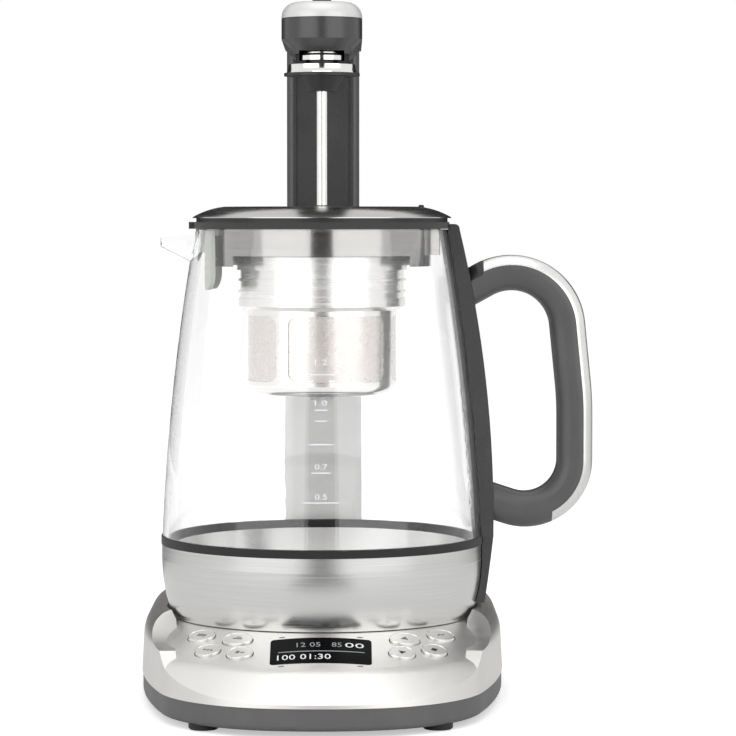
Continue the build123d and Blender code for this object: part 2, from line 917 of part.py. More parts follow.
finish(lift_column, "lift_column")

tooth_pitch = pi * gear_module
tooth_half = (tooth_pitch - gear_backlash) / 4
flank_lean = tan(radians(pressure_angle))
rack_pitch_x = pinion_x - pitch_radius
rack_tip_x = rack_pitch_x + rack_addendum_share * gear_module
rack_root_x = rack_pitch_x - gear_dedendum * gear_module
rack_low = pinion_z - rack_spare
rack_high = pinion_z + lift_travel + rack_spare
first_tooth = -floor((rack_spare - tooth_pitch / 2) / tooth_pitch)
last_tooth = floor((lift_travel + rack_spare - tooth_pitch / 2) / tooth_pitch)

with BuildPart() as lift_rack:
    with BuildSketch(Plane.XZ.offset(-rack_y)):
        with BuildLine():
            rack_line = [(-column_inner_x, rack_low), (rack_root_x, rack_low)]
            for tooth in range(first_tooth, last_tooth + 1):
                centre = pinion_z + tooth * tooth_pitch
                root_half = tooth_half + flank_lean * (rack_pitch_x - rack_root_x)
                tip_half = tooth_half - flank_lean * (rack_tip_x - rack_pitch_x)
                rack_line.append((rack_root_x, centre - root_half))
                rack_line.append((rack_tip_x, centre - tip_half))
                rack_line.append((rack_tip_x, centre + tip_half))
                rack_line.append((rack_root_x, centre + root_half))
            rack_line.append((rack_root_x, rack_high))
            rack_line.append((-column_inner_x, rack_high))
            Polyline(*rack_line, close=True)
        make_face()
    extrude(amount=-rack_width)

finish(lift_rack, "lift_rack")


pinion_base = pitch_radius * cos(radians(pressure_angle))


def involute_angle(radius):
    """How far an involute flank has turned at a radius, in radians."""
    roll = acos(pinion_base / radius)
    return tan(roll) - roll


def flank_point(radius, centre_angle, side):
    """A point on a tooth's flank at a radius."""
    half = (tooth_pitch - gear_backlash) / (4 * pitch_radius)
    angle = centre_angle + side * (half + involute_angle(pitch_radius) - involute_angle(radius))
    return (radius * cos(angle), radius * sin(angle))


pinion_tip = pitch_radius + gear_module
pinion_root = pitch_radius - gear_dedendum * gear_module
pinion_plane = Plane(origin=(pinion_x, rack_y + (rack_width - pinion_width) / 2, pinion_z),
                     x_dir=(1, 0, 0), z_dir=(0, -1, 0))
with BuildPart() as drive_pinion:
    with BuildSketch(pinion_plane):
        Circle(pinion_root)
        for tooth in range(pinion_teeth):
            turn = (2 * tooth + 1) * pi / pinion_teeth
            with BuildLine():
                lower = [flank_point(r, turn, -1) for r in (pinion_base, pitch_radius, pinion_tip)]
                upper = [flank_point(r, turn, 1) for r in (pinion_tip, pitch_radius, pinion_base)]
                inner_share = (pinion_root - gear_module) / pinion_base
                low_root = (lower[0][0] * inner_share, lower[0][1] * inner_share)
                high_root = (upper[2][0] * inner_share, upper[2][1] * inner_share)
                Line(low_root, lower[0])
                ThreePointArc(*lower)
                Line(lower[2], upper[0])
                ThreePointArc(*upper)
                Polyline(upper[2], high_root, low_root)
            make_face()
    extrude(amount=-pinion_width)
    with BuildSketch(pinion_plane):
        Circle(shaft_radius)
    extrude(amount=-(motor_y - rack_y + shaft_length))

finish(drive_pinion, "drive_pinion")

with BuildPart() as gear_motor:
    motor_plane = Plane(origin=(pinion_x, motor_y, pinion_z), x_dir=(1, 0, 0), z_dir=(0, -1, 0))
    with BuildSketch(motor_plane):
        Circle(motor_radius)
    extrude(amount=-gearbox_length)
    with BuildSketch(motor_plane.offset(-gearbox_length)):
        Circle(motor_can_radius)
    extrude(amount=-(motor_length - gearbox_length))
    with BuildSketch(motor_plane):
        Circle(shaft_radius + shaft_gap)
    extrude(amount=-(shaft_length + joint_gap + rack_width - pinion_width), mode=Mode.SUBTRACT)

finish(gear_motor, "gear_motor")

switch_levels = (bracket_top - switch_height, bracket_top - switch_height - lift_travel)
bracket_posts = [(side * (bracket_width / 2 - bracket_post_radius), level)
                 for side in (-1, 1)
                 for level in (bracket_bottom + bracket_post_inset, bracket_top - bracket_post_inset)]
with BuildPart() as motor_bracket:
    bracket_plane = Plane(origin=(0, bracket_y, 0), x_dir=(1, 0, 0), z_dir=(0, -1, 0))
    with BuildSketch(bracket_plane):
        with Locations((0, (bracket_bottom + bracket_top) / 2)):
            Rectangle(bracket_width, bracket_top - bracket_bottom)
    extrude(amount=-bracket_thickness)
    with BuildSketch(bracket_plane):
        with Locations(*bracket_posts):
            Circle(bracket_post_radius)
    extrude(amount=-(column_rear + column_gap - bracket_y))

finish(motor_bracket, "motor_bracket")

with BuildPart() as limit_switches:
    with BuildSketch(bracket_plane):
        with Locations(*[(bracket_width / 2 - switch_width, level) for level in switch_levels]):
            Rectangle(switch_width, switch_height)
    extrude(amount=switch_depth)

finish(limit_switches, "limit_switches")

with BuildPart() as column_shoe:
    add(tower_sketch(column_bottom - shoe_height, column_gap - shoe_gap))
    extrude(amount=shoe_height)
    add(tower_sketch(column_bottom, -column_wall - joint_gap))
    extrude(amount=shoe_spigot)
    shoe_inset = column_wall + joint_gap + shoe_wall
    with BuildSketch(Plane.XY.offset(column_bottom - shoe_height)):
        with Locations((0, column_centre_y)):
            Rectangle(column_width - 2 * shoe_inset, column_depth - 2 * shoe_inset)
    extrude(amount=shoe_height + shoe_spigot, mode=Mode.SUBTRACT)

finish(column_shoe, "column_shoe")

# ================================================================ arm
arm_rear = column_rear + arm_rear_margin
taper_run = tan(radians(arm_taper))


def arm_sketch(level, inset, wall=0):
    """The arm seen from above, drawn in by inset: whole, or a ring as thick as wall."""
    with BuildSketch() as whole:
        with BuildLine():
            ThreePointArc((-arm_half_width, 0), (0, -arm_half_width), (arm_half_width, 0))
            Polyline((arm_half_width, 0), (arm_half_width, arm_rear), (-arm_half_width, arm_rear),
                     (-arm_half_width, 0))
        make_face()
        fillet(whole.vertices().group_by(Axis.Y)[-1], arm_rear_corner)
    with BuildSketch() as hollow:
        add(whole.sketch)
        offset(amount=-inset - wall)
    with BuildSketch(Plane.XY.offset(level)) as outline:
        add(whole.sketch)
        offset(amount=-inset)
        if wall:
            add(hollow.sketch, mode=Mode.SUBTRACT)
    return outline.sketch


def behind(level, front):
    """A half plane at a level, from a front line back past the arm's rear."""
    with BuildSketch(Plane.XY.offset(level)) as half:
        with Locations((0, front + reach / 2)):
            Rectangle(reach, reach)
    return half.sketch


# the coupling: the knob hangs on a shelf inside the socket and leaves it forwards
knob_room = knob_radius + coupler_gap
room_top = knob_top + coupler_headroom
shelf_bottom = spool_neck_z + slide_gap
shelf_top = shelf_bottom + coupler_shelf
neck_room = spool_neck_radius + slide_gap
coupler_seat = arm_bottom + arm_floor
coupler_top = coupler_seat + coupler_flange_height
magnet_z = room_top + coupler_roof

with BuildPart() as knob_path:
    with BuildSketch(Plane.XZ):
        with Locations((0, (room_top + shelf_bottom) / 2)):
            Rectangle(2 * knob_room, room_top - shelf_bottom)
    extrude(amount=reach)

with BuildPart() as arm_well:
    add(arm_sketch(coupler_seat, (arm_taper_height - arm_floor) * taper_run + arm_wall))
    extrude(amount=arm_split - coupler_seat)
    add(behind(coupler_seat, column_front - joint_gap - arm_wall))
    extrude(amount=arm_split - coupler_seat, mode=Mode.SUBTRACT)

with BuildPart() as arm_body:
    add(arm_sketch(band_bottom, 0))
    extrude(amount=arm_taper_height, dir=(0, 0, -1), taper=arm_taper)
    add(behind(arm_bottom, column_front - joint_gap))
    extrude(amount=arm_taper_height, mode=Mode.SUBTRACT)
    add(arm_sketch(band_bottom, 0))
    extrude(amount=arm_band_height)
    add(arm_sketch(band_bottom + arm_wall, arm_wall))
    extrude(amount=arm_band_height - arm_wall, mode=Mode.SUBTRACT)
    add(arm_well.part, mode=Mode.SUBTRACT)
    add(arm_sketch(arm_split, cap_seam_depth, arm_wall - cap_seam_depth))
    extrude(amount=cap_seam)
    add(arm_sketch(arm_split + cap_seam, cap_wall + joint_gap, arm_wall - cap_wall - joint_gap))
    extrude(amount=cap_lip_height)
    add(tower_sketch(band_bottom - arm_spigot, -column_wall - joint_gap))
    extrude(amount=arm_spigot)
    spigot_inset = column_wall + joint_gap + arm_spigot_wall
    with BuildSketch(Plane.XY.offset(band_bottom - arm_spigot)):
        with Locations((0, column_centre_y)):
            Rectangle(column_width - 2 * spigot_inset, column_depth - 2 * spigot_inset)
    extrude(amount=arm_spigot, mode=Mode.SUBTRACT)
    with BuildSketch(Plane.XY.offset(arm_bottom)):
        Circle(coupler_radius + joint_gap)
    extrude(amount=arm_floor, mode=Mode.SUBTRACT)
    add(knob_path.part, mode=Mode.SUBTRACT)
    with BuildSketch(Plane.YZ.offset(-reach / 2)):
        with Locations((column_centre_y, arm_pin_z)):
            Circle(arm_pin_radius + shaft_gap)
    extrude(amount=reach, mode=Mode.SUBTRACT)

finish(arm_body, "arm_body")


def cap_form(inset):
    """The crowned cap of the arm, drawn in by inset."""
    with BuildPart() as form:
        add(arm_sketch(arm_split + cap_seam, inset))
        extrude(amount=cap_height - cap_seam - inset)
        fillet(form.faces().sort_by(Axis.Z)[-1].edges(), cap_round - inset)
    return form.part


cap_outside = cap_form(0)
cap_inside = cap_form(cap_wall)
with BuildPart() as arm_cap:
    add(cap_outside)
    add(cap_inside, mode=Mode.SUBTRACT)
    with BuildSketch(Plane.XY.offset(arm_split)):
        Circle(release_radius + slide_gap)
    extrude(amount=reach, mode=Mode.SUBTRACT)

finish(arm_cap, "arm_cap")

with BuildPart() as arm_pin:
    with BuildSketch(Plane.YZ.offset(-column_width / 2 + joint_gap)):
        with Locations((column_centre_y, arm_pin_z)):
            Circle(arm_pin_radius)
    extrude(amount=column_width - 2 * joint_gap)

finish(arm_pin, "arm_pin")

with BuildPart() as coupling_socket:
    with BuildSketch(Plane.XY.offset(shelf_bottom)):
        Circle(coupler_radius)
    extrude(amount=coupler_seat - shelf_bottom)
    with BuildSketch(Plane.XY.offset(coupler_seat)):
        Circle(coupler_radius + coupler_flange)
    extrude(amount=coupler_flange_height)
    with BuildSketch(Plane.XY.offset(shelf_top)):
        Circle(knob_room)
        with Locations((0, -reach / 2)):
            Rectangle(2 * knob_room, reach)
    extrude(amount=room_top - shelf_top, mode=Mode.SUBTRACT)
    with BuildSketch(Plane.XY.offset(shelf_bottom)):
        Circle(neck_room)
        with Locations((0, -reach / 2)):
            Rectangle(2 * neck_room, reach)
    extrude(amount=coupler_shelf, mode=Mode.SUBTRACT)
    with BuildSketch(Plane.XY.offset(shelf_bottom)):
        with Locations((0, -coupler_fork - reach / 2)):
            Rectangle(reach, reach)
    extrude(amount=arm_bottom - shelf_bottom, mode=Mode.SUBTRACT)
    with BuildSketch(Plane.XY.offset(magnet_z)):
        Circle(magnet_radius + joint_gap)
    extrude(amount=coupler_top - magnet_z, mode=Mode.SUBTRACT)
    with BuildSketch(Plane.XY.offset(room_top)):
        Circle(release_stem_radius + slide_gap)
    extrude(amount=coupler_roof, mode=Mode.SUBTRACT)

finish(coupling_socket, "coupling_socket")

with BuildPart() as coupling_magnet:
    with BuildSketch(Plane.XY.offset(magnet_z)):
        Circle(magnet_radius)
        Circle(release_stem_radius + slide_gap, mode=Mode.SUBTRACT)
    extrude(amount=magnet_height)

finish(coupling_magnet, "coupling_magnet")

release_stem_bottom = knob_top + release_travel + slide_gap
release_flange_top = arm_top - cap_wall - slide_gap
with BuildPart() as release_button:
    with BuildSketch(Plane.XY.offset(release_flange_top - release_flange)):
        Circle(release_radius)
    extrude(amount=arm_top + release_stand - release_flange_top + release_flange)
    fillet(release_button.edges().group_by(Axis.Z)[-1], release_round)
    with BuildSketch(Plane.XY.offset(release_flange_top - release_flange)):
        Circle(release_radius + release_flange)
    extrude(amount=release_flange)
    with BuildSketch(Plane.XY.offset(release_stem_bottom)):
        Circle(release_stem_radius)
    extrude(amount=release_flange_top - release_stem_bottom)

finish(release_button, "release_button")

# ================================================================ infuser
with BuildPart() as infuser_rod:
    with BuildSketch(Plane.XY.offset(basket_z - nut_height)):
        Circle(rod_radius)
    extrude(amount=spool_z - basket_z + nut_height)

finish(infuser_rod, "infuser_rod")

with BuildPart() as rod_nut:
    with BuildSketch(Plane.XY.offset(basket_z - nut_height)):
        RegularPolygon(nut_radius, 6)
        Circle(rod_radius + shaft_gap, mode=Mode.SUBTRACT)
    extrude(amount=nut_height)

finish(rod_nut, "rod_nut")


def basket_form(inset):
    """The basket's body with its rounded foot, drawn in by inset."""
    with BuildPart() as form:
        with BuildSketch(Plane.XY.offset(basket_z + inset)):
            Circle(basket_radius - inset)
        extrude(amount=basket_height + basket_tuck - inset)
        fillet(form.edges().group_by(Axis.Z)[0], basket_corner - inset)
    return form.part


window_step = 360 / window_count
window_half_angle = (window_step - degrees(window_strip / basket_radius)) / 2
window_plane = Plane.XZ.offset(basket_radius * cos(radians(window_half_angle)) / 2)
basket_inside = basket_form(basket_wall)
with BuildPart() as one_window:
    with BuildSketch(window_plane):
        with Locations((0, basket_z + (window_low + window_high) / 2)):
            RectangleRounded(2 * basket_radius * sin(radians(window_half_angle)), window_high - window_low,
                             window_round)
    extrude(amount=reach)

with BuildPart() as basket_windows:
    with PolarLocations(0, window_count, start_angle=window_turn):
        add(one_window.part)

with BuildPart() as basket_body:
    add(basket_form(0))
    add(basket_inside, mode=Mode.SUBTRACT)
    add(basket_windows.part, mode=Mode.SUBTRACT)
    with BuildSketch(Plane.XY.offset(basket_z)):
        Circle(rod_radius + shaft_gap)
    extrude(amount=basket_wall, mode=Mode.SUBTRACT)

finish(basket_body, "basket_body")

with BuildPart() as basket_mesh:
    with BuildSketch(Plane.XY.offset(basket_z + basket_corner)):
        Circle(basket_radius - basket_wall - shaft_gap)
        Circle(basket_radius - basket_wall - shaft_gap - mesh_thickness, mode=Mode.SUBTRACT)
    extrude(amount=basket_height - basket_corner)

finish(basket_mesh, "basket_mesh")

flange_bore = basket_radius - neck_wall
basket_mouth = basket_top + basket_tuck
with BuildPart() as basket_flange:
    with BuildSketch(Plane.XZ):
        with BuildLine():
            Polyline((basket_radius + shaft_gap, basket_top), (flange_radius, neck_z - flange_lip_height),
                     (flange_radius, neck_z), (flange_bore, neck_z), (flange_bore, basket_mouth),
                     (basket_radius + shaft_gap, basket_mouth), close=True)
        make_face()
    revolve(axis=Axis.Z)

finish(basket_flange, "basket_flange")

with BuildPart() as basket_neck:
    with BuildSketch(Plane.XY.offset(neck_z)):
        Circle(neck_radius)
    extrude(amount=neck_height)
    for rise in (neck_rib_low, neck_rib_high):
        with BuildSketch(Plane.XY.offset(neck_z + rise)):
            Circle(neck_radius + neck_rib)
        extrude(amount=neck_rib)
    with BuildSketch(Plane.XY.offset(collar_z)):
        Circle(collar_radius)
    extrude(amount=collar_ring_height)
    chamfer(basket_neck.edges().group_by(Axis.Z)[-1], collar_chamfer)
    with BuildSketch(Plane.XY.offset(neck_z)):
        Circle(neck_radius - neck_wall)
    extrude(amount=neck_height + collar_ring_height, mode=Mode.SUBTRACT)

finish(basket_neck, "basket_neck")

with BuildPart() as coupling_hub:
    with BuildSketch(Plane.XZ):
        with BuildLine():
            Polyline((rod_radius + shaft_gap, hub_z), (hub_low_radius, hub_z), (hub_high_radius, rim_z),
                     (rim_radius, rim_z), (rim_radius, spool_z), (spool_neck_radius, spool_z),
                     (spool_neck_radius, knob_z), (knob_stem_radius + shaft_gap, knob_z),
                     (knob_stem_radius + shaft_gap, spool_z), (rod_radius + shaft_gap, spool_z), close=True)
        make_face()
    revolve(axis=Axis.Z)

finish(coupling_hub, "coupling_hub")

with BuildPart() as coupling_flange:
    with BuildSketch(Plane.XZ):
        with BuildLine():
            Polyline((spool_flange_high, spool_neck_z), (spool_neck_radius + shaft_gap, spool_neck_z),
                     (spool_neck_radius + shaft_gap, spool_z), (spool_flange_low, spool_z))
            SagittaArc((spool_flange_low, spool_z), (spool_flange_high, spool_neck_z), spool_flange_crown / 2)
        make_face()
    revolve(axis=Axis.Z)

finish(coupling_flange, "coupling_flange")

with BuildPart() as coupling_knob:
    with BuildSketch(Plane.XZ):
        with BuildLine():
            Polyline((knob_top_radius, knob_top), (0, knob_top), (0, spool_z), (knob_stem_radius, spool_z),
                     (knob_stem_radius, knob_z), (knob_radius, knob_z), (knob_radius, knob_z + knob_edge))
            SagittaArc((knob_radius, knob_z + knob_edge), (knob_top_radius, knob_top), knob_crown / 2)
        make_face()
    revolve(axis=Axis.Z)

finish(coupling_knob, "coupling_knob")


# ================================================================ jug
def shell_form(grow):
    """Everything inside the outside of the jug's base shell, grown all round."""
    with BuildPart() as form:
        with BuildSketch(Plane.XZ):
            with BuildLine():
                ThreePointArc((shell_foot_radius + grow, jug_seat), (shell_mid_radius + grow, shell_mid),
                              (shell_top_radius + grow, shell_bend_top))
                Polyline((shell_top_radius + grow, shell_bend_top), (shell_top_radius + grow, shell_top),
                         (0, shell_top), (0, jug_seat), (shell_foot_radius + grow, jug_seat))
            make_face()
        revolve(axis=Axis.Z)
    return form.part


def glass_form(grow):
    """Everything inside the glass's outside, grown all round."""
    with BuildPart() as form:
        with BuildSketch(Plane.XZ):
            with BuildLine():
                ThreePointArc((glass_base_radius + grow, glass_base), (glass_mid_radius + grow, glass_mid),
                              (glass_rim_radius + grow, glass_rim))
                Polyline((glass_rim_radius + grow, glass_rim), (0, glass_rim), (0, glass_base),
                         (glass_base_radius + grow, glass_base))
            make_face()
        revolve(axis=Axis.Z)
    return form.part


glass_arc = ThreePointArc((glass_base_radius, glass_base), (glass_mid_radius, glass_mid),
                          (glass_rim_radius, glass_rim))


def glass_radius(level):
    """The glass's outside radius at a level."""
    return glass_arc.arc_center.X + sqrt(glass_arc.radius ** 2 - (level - glass_arc.arc_center.Y) ** 2)


with BuildPart() as jug_base_shell:
    add(shell_form(0))
    add(shell_form(-shell_wall), mode=Mode.SUBTRACT)
    with BuildSketch(Plane.XY.offset(jug_seat)):
        Circle(shell_foot_radius)
        Circle(shell_floor_radius, mode=Mode.SUBTRACT)
    extrude(amount=shell_wall)

finish(jug_base_shell, "jug_base_shell")

with BuildPart() as jug_ring:
    with BuildSketch(Plane.XY.offset(shell_top)):
        Circle(ring_radius)
        Circle(ring_radius - ring_width, mode=Mode.SUBTRACT)
    extrude(amount=ring_height)

finish(jug_ring, "jug_ring")


def spout_form(inset, past):
    """The spout as a full taper of ellipses, drawn in by inset and run past its tip."""
    share = 1 + past / (spout_tip - spout_root)
    tip_half_width = spout_root_half_width - share * (spout_root_half_width - spout_tip_half_width)
    tip_depth = spout_root_depth - share * (spout_root_depth - spout_tip_depth)
    with BuildPart() as form:
        with BuildSketch(Plane.YZ.offset(-spout_root)):
            with Locations((0, glass_rim)):
                Ellipse(spout_root_half_width - inset, spout_root_depth - inset)
        with BuildSketch(Plane.YZ.offset(-spout_tip - past)):
            with Locations((0, glass_rim - share * spout_droop)):
                Ellipse(tip_half_width - inset, tip_depth - inset)
        loft()
    return form.part


spout_fall = spout_droop / (spout_tip - spout_root)
with BuildPart() as spout_outside:
    add(spout_form(0, 0))
    with BuildSketch(Plane.XZ.offset(-reach / 2)):
        with BuildLine():
            Polyline((0, glass_rim + spout_fall * spout_root),
                     (-reach, glass_rim - spout_fall * (reach - spout_root)), (-reach, glass_rim + reach),
                     (0, glass_rim + reach), close=True)
        make_face()
    extrude(amount=reach, mode=Mode.SUBTRACT)

with BuildPart() as jug_glass:
    add(glass_form(0))
    add(spout_outside.part)
    add(glass_form(-jug_wall), mode=Mode.SUBTRACT)
    add(spout_form(spout_wall, overcut), mode=Mode.SUBTRACT)

finish(jug_glass, "jug_glass")

heater_rim_radius = shell_top_radius - shell_wall - joint_gap
with BuildPart() as heater_plate:
    with BuildSketch(Plane.XZ):
        with BuildLine():
            Polyline((0, heater_underside), (heater_floor_radius, heater_underside),
                     (heater_shoulder_radius, shell_top - heater_wall),
                     (heater_rim_radius, shell_top - heater_wall), (heater_rim_radius, shell_top),
                     (heater_shoulder_radius - heater_wall, shell_top),
                     (heater_floor_radius - heater_wall, heater_top), (0, heater_top), close=True)
        make_face()
    revolve(axis=Axis.Z)

finish(heater_plate, "heater_plate")

with BuildPart() as heating_element:
    with BuildSketch(Plane.XZ):
        with Locations((element_radius, heater_underside - joint_gap - element_tube)):
            Circle(element_tube)
    revolve(axis=Axis.Z, revolution_arc=element_arc)

finish(heating_element, "heating_element")

socket_radius = plug_radius + plug_gap
socket_outer = socket_radius + socket_wall
socket_roof = plug_top + socket_roof_gap
under_plate_top = shell_floor_top + under_plate_thickness
under_plate_radius = shell_floor_radius + under_plate_overlap
with BuildPart() as jug_connector:
    with BuildSketch(Plane.XZ):
        with BuildLine():
            Polyline((0, dish_floor + plug_gap), (plug_pin_radius, dish_floor + plug_gap),
                     (plug_pin_radius, socket_roof), (socket_radius, socket_roof),
                     (socket_radius, jug_seat), (socket_outer, jug_seat), (socket_outer, shell_floor_top),
                     (under_plate_radius, shell_floor_top), (under_plate_radius, under_plate_top),
                     (socket_outer, under_plate_top), (socket_outer, heater_underside - joint_gap),
                     (0, heater_underside - joint_gap), close=True)
        make_face()
    revolve(axis=Axis.Z)

finish(jug_connector, "jug_connector")

# ================================================================ handle
handle_top = glass_rim + spine_top_rise
spine_foot = cover_top + spine_foot_gap
spine_knee = (glass_base + spine_foot) / 2


def spine_form(grow, half_width):
    """Everything from the jug axis out to the spine's back, grown outwards."""
    with BuildPart() as form:
        with BuildSketch(Plane.XZ.offset(-half_width)) as side:
            with BuildLine():
                foot_point = (shell_mid_radius + spine_foot_stand + grow, spine_foot)
                hip_point = (glass_base_radius + spine_low_stand + grow, glass_base)
                rim_point = (glass_rim_radius + spine_top_stand + grow, glass_rim)
                ThreePointArc(foot_point, (shell_mid_radius + spine_knee_stand + grow, spine_knee), hip_point)
                ThreePointArc(hip_point, (glass_mid_radius + spine_mid_stand + grow, glass_mid), rim_point)
                Polyline(rim_point, (rim_point[0], handle_top), (0, handle_top), (0, spine_foot), foot_point)
            make_face()
            fillet(side.vertices().group_by(Axis.Y)[-1].sort_by(Axis.X)[-1], spine_top_round)
        extrude(amount=2 * half_width)
    return form.part


def handle_screw_spots(pull):
    """Where the handle's two screws start, drawn back towards the jug by pull."""
    spots = []
    for rise in (handle_screw_low, handle_screw_high):
        level = glass_base + rise
        spots.append((glass_radius(level) + spine_gap + handle_screw_sink - pull, 0, level))
    return spots


handle_screws = screws(handle_screw_spots(0), (1, 0, 0), handle_screw_length, handle_screw_head,
                       screw_head_height, handle_screw_radius)
finish(handle_screws, "handle_screws")

with BuildPart() as handle_bores:
    for spot in handle_screw_spots(overcut):
        with BuildSketch(Plane(origin=spot, z_dir=(1, 0, 0))):
            Circle(handle_screw_head + joint_gap)
        extrude(amount=overcut + screw_head_height + joint_gap)
        with BuildSketch(Plane(origin=spot, z_dir=(1, 0, 0))):
            Circle(handle_screw_radius + joint_gap)
        extrude(amount=overcut + screw_head_height + handle_screw_length + joint_gap)

with BuildPart() as handle_spine:
    add(spine_form(0, spine_width / 2))
    add(shell_form(spine_gap), mode=Mode.SUBTRACT)
    add(glass_form(spine_gap), mode=Mode.SUBTRACT)
    with BuildSketch(Plane.XY):
        Circle(shell_foot_radius + spine_gap)
    extrude(amount=shell_mid, mode=Mode.SUBTRACT)
    with BuildSketch(Plane.XY.offset(shell_top)):
        Circle(ring_radius + spine_gap)
    extrude(amount=ring_height, mode=Mode.SUBTRACT)
    with BuildSketch(Plane.XY.offset(glass_rim)):
        Circle(gasket_radius + 2 * slide_gap)
    extrude(amount=reach, mode=Mode.SUBTRACT)
    add(handle_bores.part, mode=Mode.SUBTRACT)

finish(handle_spine, "handle_spine")

grip_points = [(glass_base_radius + out, glass_base + rise)
               for out, rise in (grip_high_root, grip_high_corner, grip_back, grip_low_corner, grip_low_root)]
with BuildLine(Plane.XZ) as grip_path:
    FilletPolyline(*grip_points, radius=[grip_high_bend, grip_back_bend, grip_low_bend])

grip_way = grip_path.line % 0
grip_plane = Plane(origin=grip_path.line @ 0, x_dir=(-grip_way.Z, 0, grip_way.X), z_dir=grip_way)


def strip_form(grow):
    """The strip let into the grip's outer side, grown inwards."""
    with BuildPart() as form:
        with BuildSketch(grip_plane):
            RectangleRounded(grip_thickness, grip_width, grip_round)
            RectangleRounded(grip_thickness - 2 * (strip_thickness + grow),
                             grip_width - 2 * (strip_thickness + grow),
                             grip_round - strip_thickness - grow, mode=Mode.SUBTRACT)
            with Locations(((grip_thickness - strip_depth - grow) / 2, 0)):
                Rectangle(strip_depth + grow, grip_width, mode=Mode.INTERSECT)
        sweep(path=grip_path.line)
        start_x = glass_base_radius + strip_start - grow
        end_x = glass_base_radius + strip_end - grow
        turn_z = glass_base + grip_back[1]
        with BuildSketch(Plane.XZ.offset(-grip_width)):
            with BuildLine():
                Polyline((start_x, turn_z), (start_x, handle_top + reach), (2 * reach, handle_top + reach),
                         (2 * reach, -reach), (end_x, -reach), (end_x, turn_z), close=True)
            make_face()
        extrude(amount=2 * grip_width, mode=Mode.INTERSECT)
    return form


handle_strip = strip_form(0)
finish(handle_strip, "handle_strip")
strip_channel = strip_form(joint_gap)

with BuildPart() as handle_grip:
    with BuildSketch(grip_plane):
        RectangleRounded(grip_thickness, grip_width, grip_round)
    sweep(path=grip_path.line)
    add(spine_form(joint_gap, grip_width), mode=Mode.SUBTRACT)
    add(strip_channel.part, mode=Mode.SUBTRACT)
    add(handle_bores.part, mode=Mode.SUBTRACT)

finish(handle_grip, "handle_grip")


# ================================================================ lid
def lid_form(drop):
    """Everything under the lid's crowned top, drawn in by drop."""
    with BuildPart() as form:
        with BuildSketch(Plane.XZ):
            with BuildLine():
                ThreePointArc((lid_flat_radius - drop, lid_top - drop),
                              (lid_brow_radius - drop, lid_top - lid_brow_drop - drop),
                              (lid_radius - drop, gasket_top + lid_edge - drop))
                Polyline((lid_radius - drop, gasket_top + lid_edge - drop),
                         (lid_radius - drop, gasket_top - drop), (0, gasket_top - drop), (0, lid_top - drop),
                         (lid_flat_radius - drop, lid_top - drop))
            make_face()
        revolve(axis=Axis.Z)
    return form.part


with BuildPart() as lid_cap:
    add(lid_form(0))
    add(lid_form(lid_wall), mode=Mode.SUBTRACT)
    with BuildSketch(Plane.XY.offset(gasket_top)):
        Circle(bush_radius + joint_gap)
    extrude(amount=reach, mode=Mode.SUBTRACT)

finish(lid_cap, "lid_cap")

skirt_plate_top = gasket_base - skirt_plate_drop
with BuildPart() as lid_core:
    with BuildSketch(Plane.XY.offset(seam_base)):
        Circle(seam_radius)
    extrude(amount=gasket_top - seam_base)
    with BuildSketch(Plane.XY.offset(skirt_plate_top)):
        Circle(bush_radius)
    extrude(amount=lid_top + bush_stand - skirt_plate_top)
    with BuildSketch(Plane.XY.offset(skirt_plate_top)):
        Circle(rod_radius + rod_hole_gap)
    extrude(amount=reach, mode=Mode.SUBTRACT)

finish(lid_core, "lid_core")

with BuildPart() as lid_gasket:
    with BuildSketch(Plane.XY.offset(gasket_base)):
        Circle(gasket_radius)
        with Locations((-gasket_tab_radius / 2, 0)):
            Rectangle(gasket_tab_radius, gasket_tab_width)
        Circle(guard_radius + joint_gap, mode=Mode.SUBTRACT)
    extrude(amount=gasket_ring_height)

finish(lid_gasket, "lid_gasket")


def wedge(level, inner, outer, facing, half_angle):
    """Part of a ring round the jug axis, to both sides of the way it faces."""
    with BuildSketch(Plane.XY.offset(level)) as part_ring:
        Circle(outer)
        Circle(inner, mode=Mode.SUBTRACT)
        far = 2 * outer
        with BuildLine():
            edges = [radians(facing + side * half_angle) for side in (-1, 1)]
            corners = [(far * cos(edge), far * sin(edge)) for edge in edges]
            Polyline((0, 0), *corners, close=True)
        make_face(mode=Mode.INTERSECT)
    return part_ring.sketch


skirt_bottom = gasket_base - skirt_drop
skirt_bore = skirt_radius - skirt_wall
front_angle = -90
latch_angle = 0
spout_angle = 180
with BuildPart() as lid_skirt:
    with BuildSketch(Plane.XY.offset(skirt_bottom)):
        Circle(skirt_radius)
        Circle(skirt_bore, mode=Mode.SUBTRACT)
    extrude(amount=seam_base - skirt_bottom)
    with BuildSketch(Plane.XY.offset(skirt_plate_top - skirt_wall)):
        Circle(skirt_bore)
        Circle(rod_radius + rod_hole_gap, mode=Mode.SUBTRACT)
    extrude(amount=skirt_wall)
    add(wedge(gasket_base - latch_drop, skirt_bore, latch_radius, latch_angle, latch_half_angle))
    extrude(amount=latch_drop)
    add(wedge(skirt_bottom, skirt_bore - overcut, skirt_radius + overcut, front_angle, skirt_front_angle))
    extrude(amount=skirt_front_cut, mode=Mode.SUBTRACT)

finish(lid_skirt, "lid_skirt")

guard_bottom = gasket_base - guard_drop
with BuildPart() as guard_window:
    with BuildSketch(Plane.YZ.offset(-reach)):
        with Locations((0, guard_bottom + reach / 2)):
            RectangleRounded(2 * guard_radius * sin(radians(guard_half_angle)), reach, guard_corner)
    extrude(amount=reach)

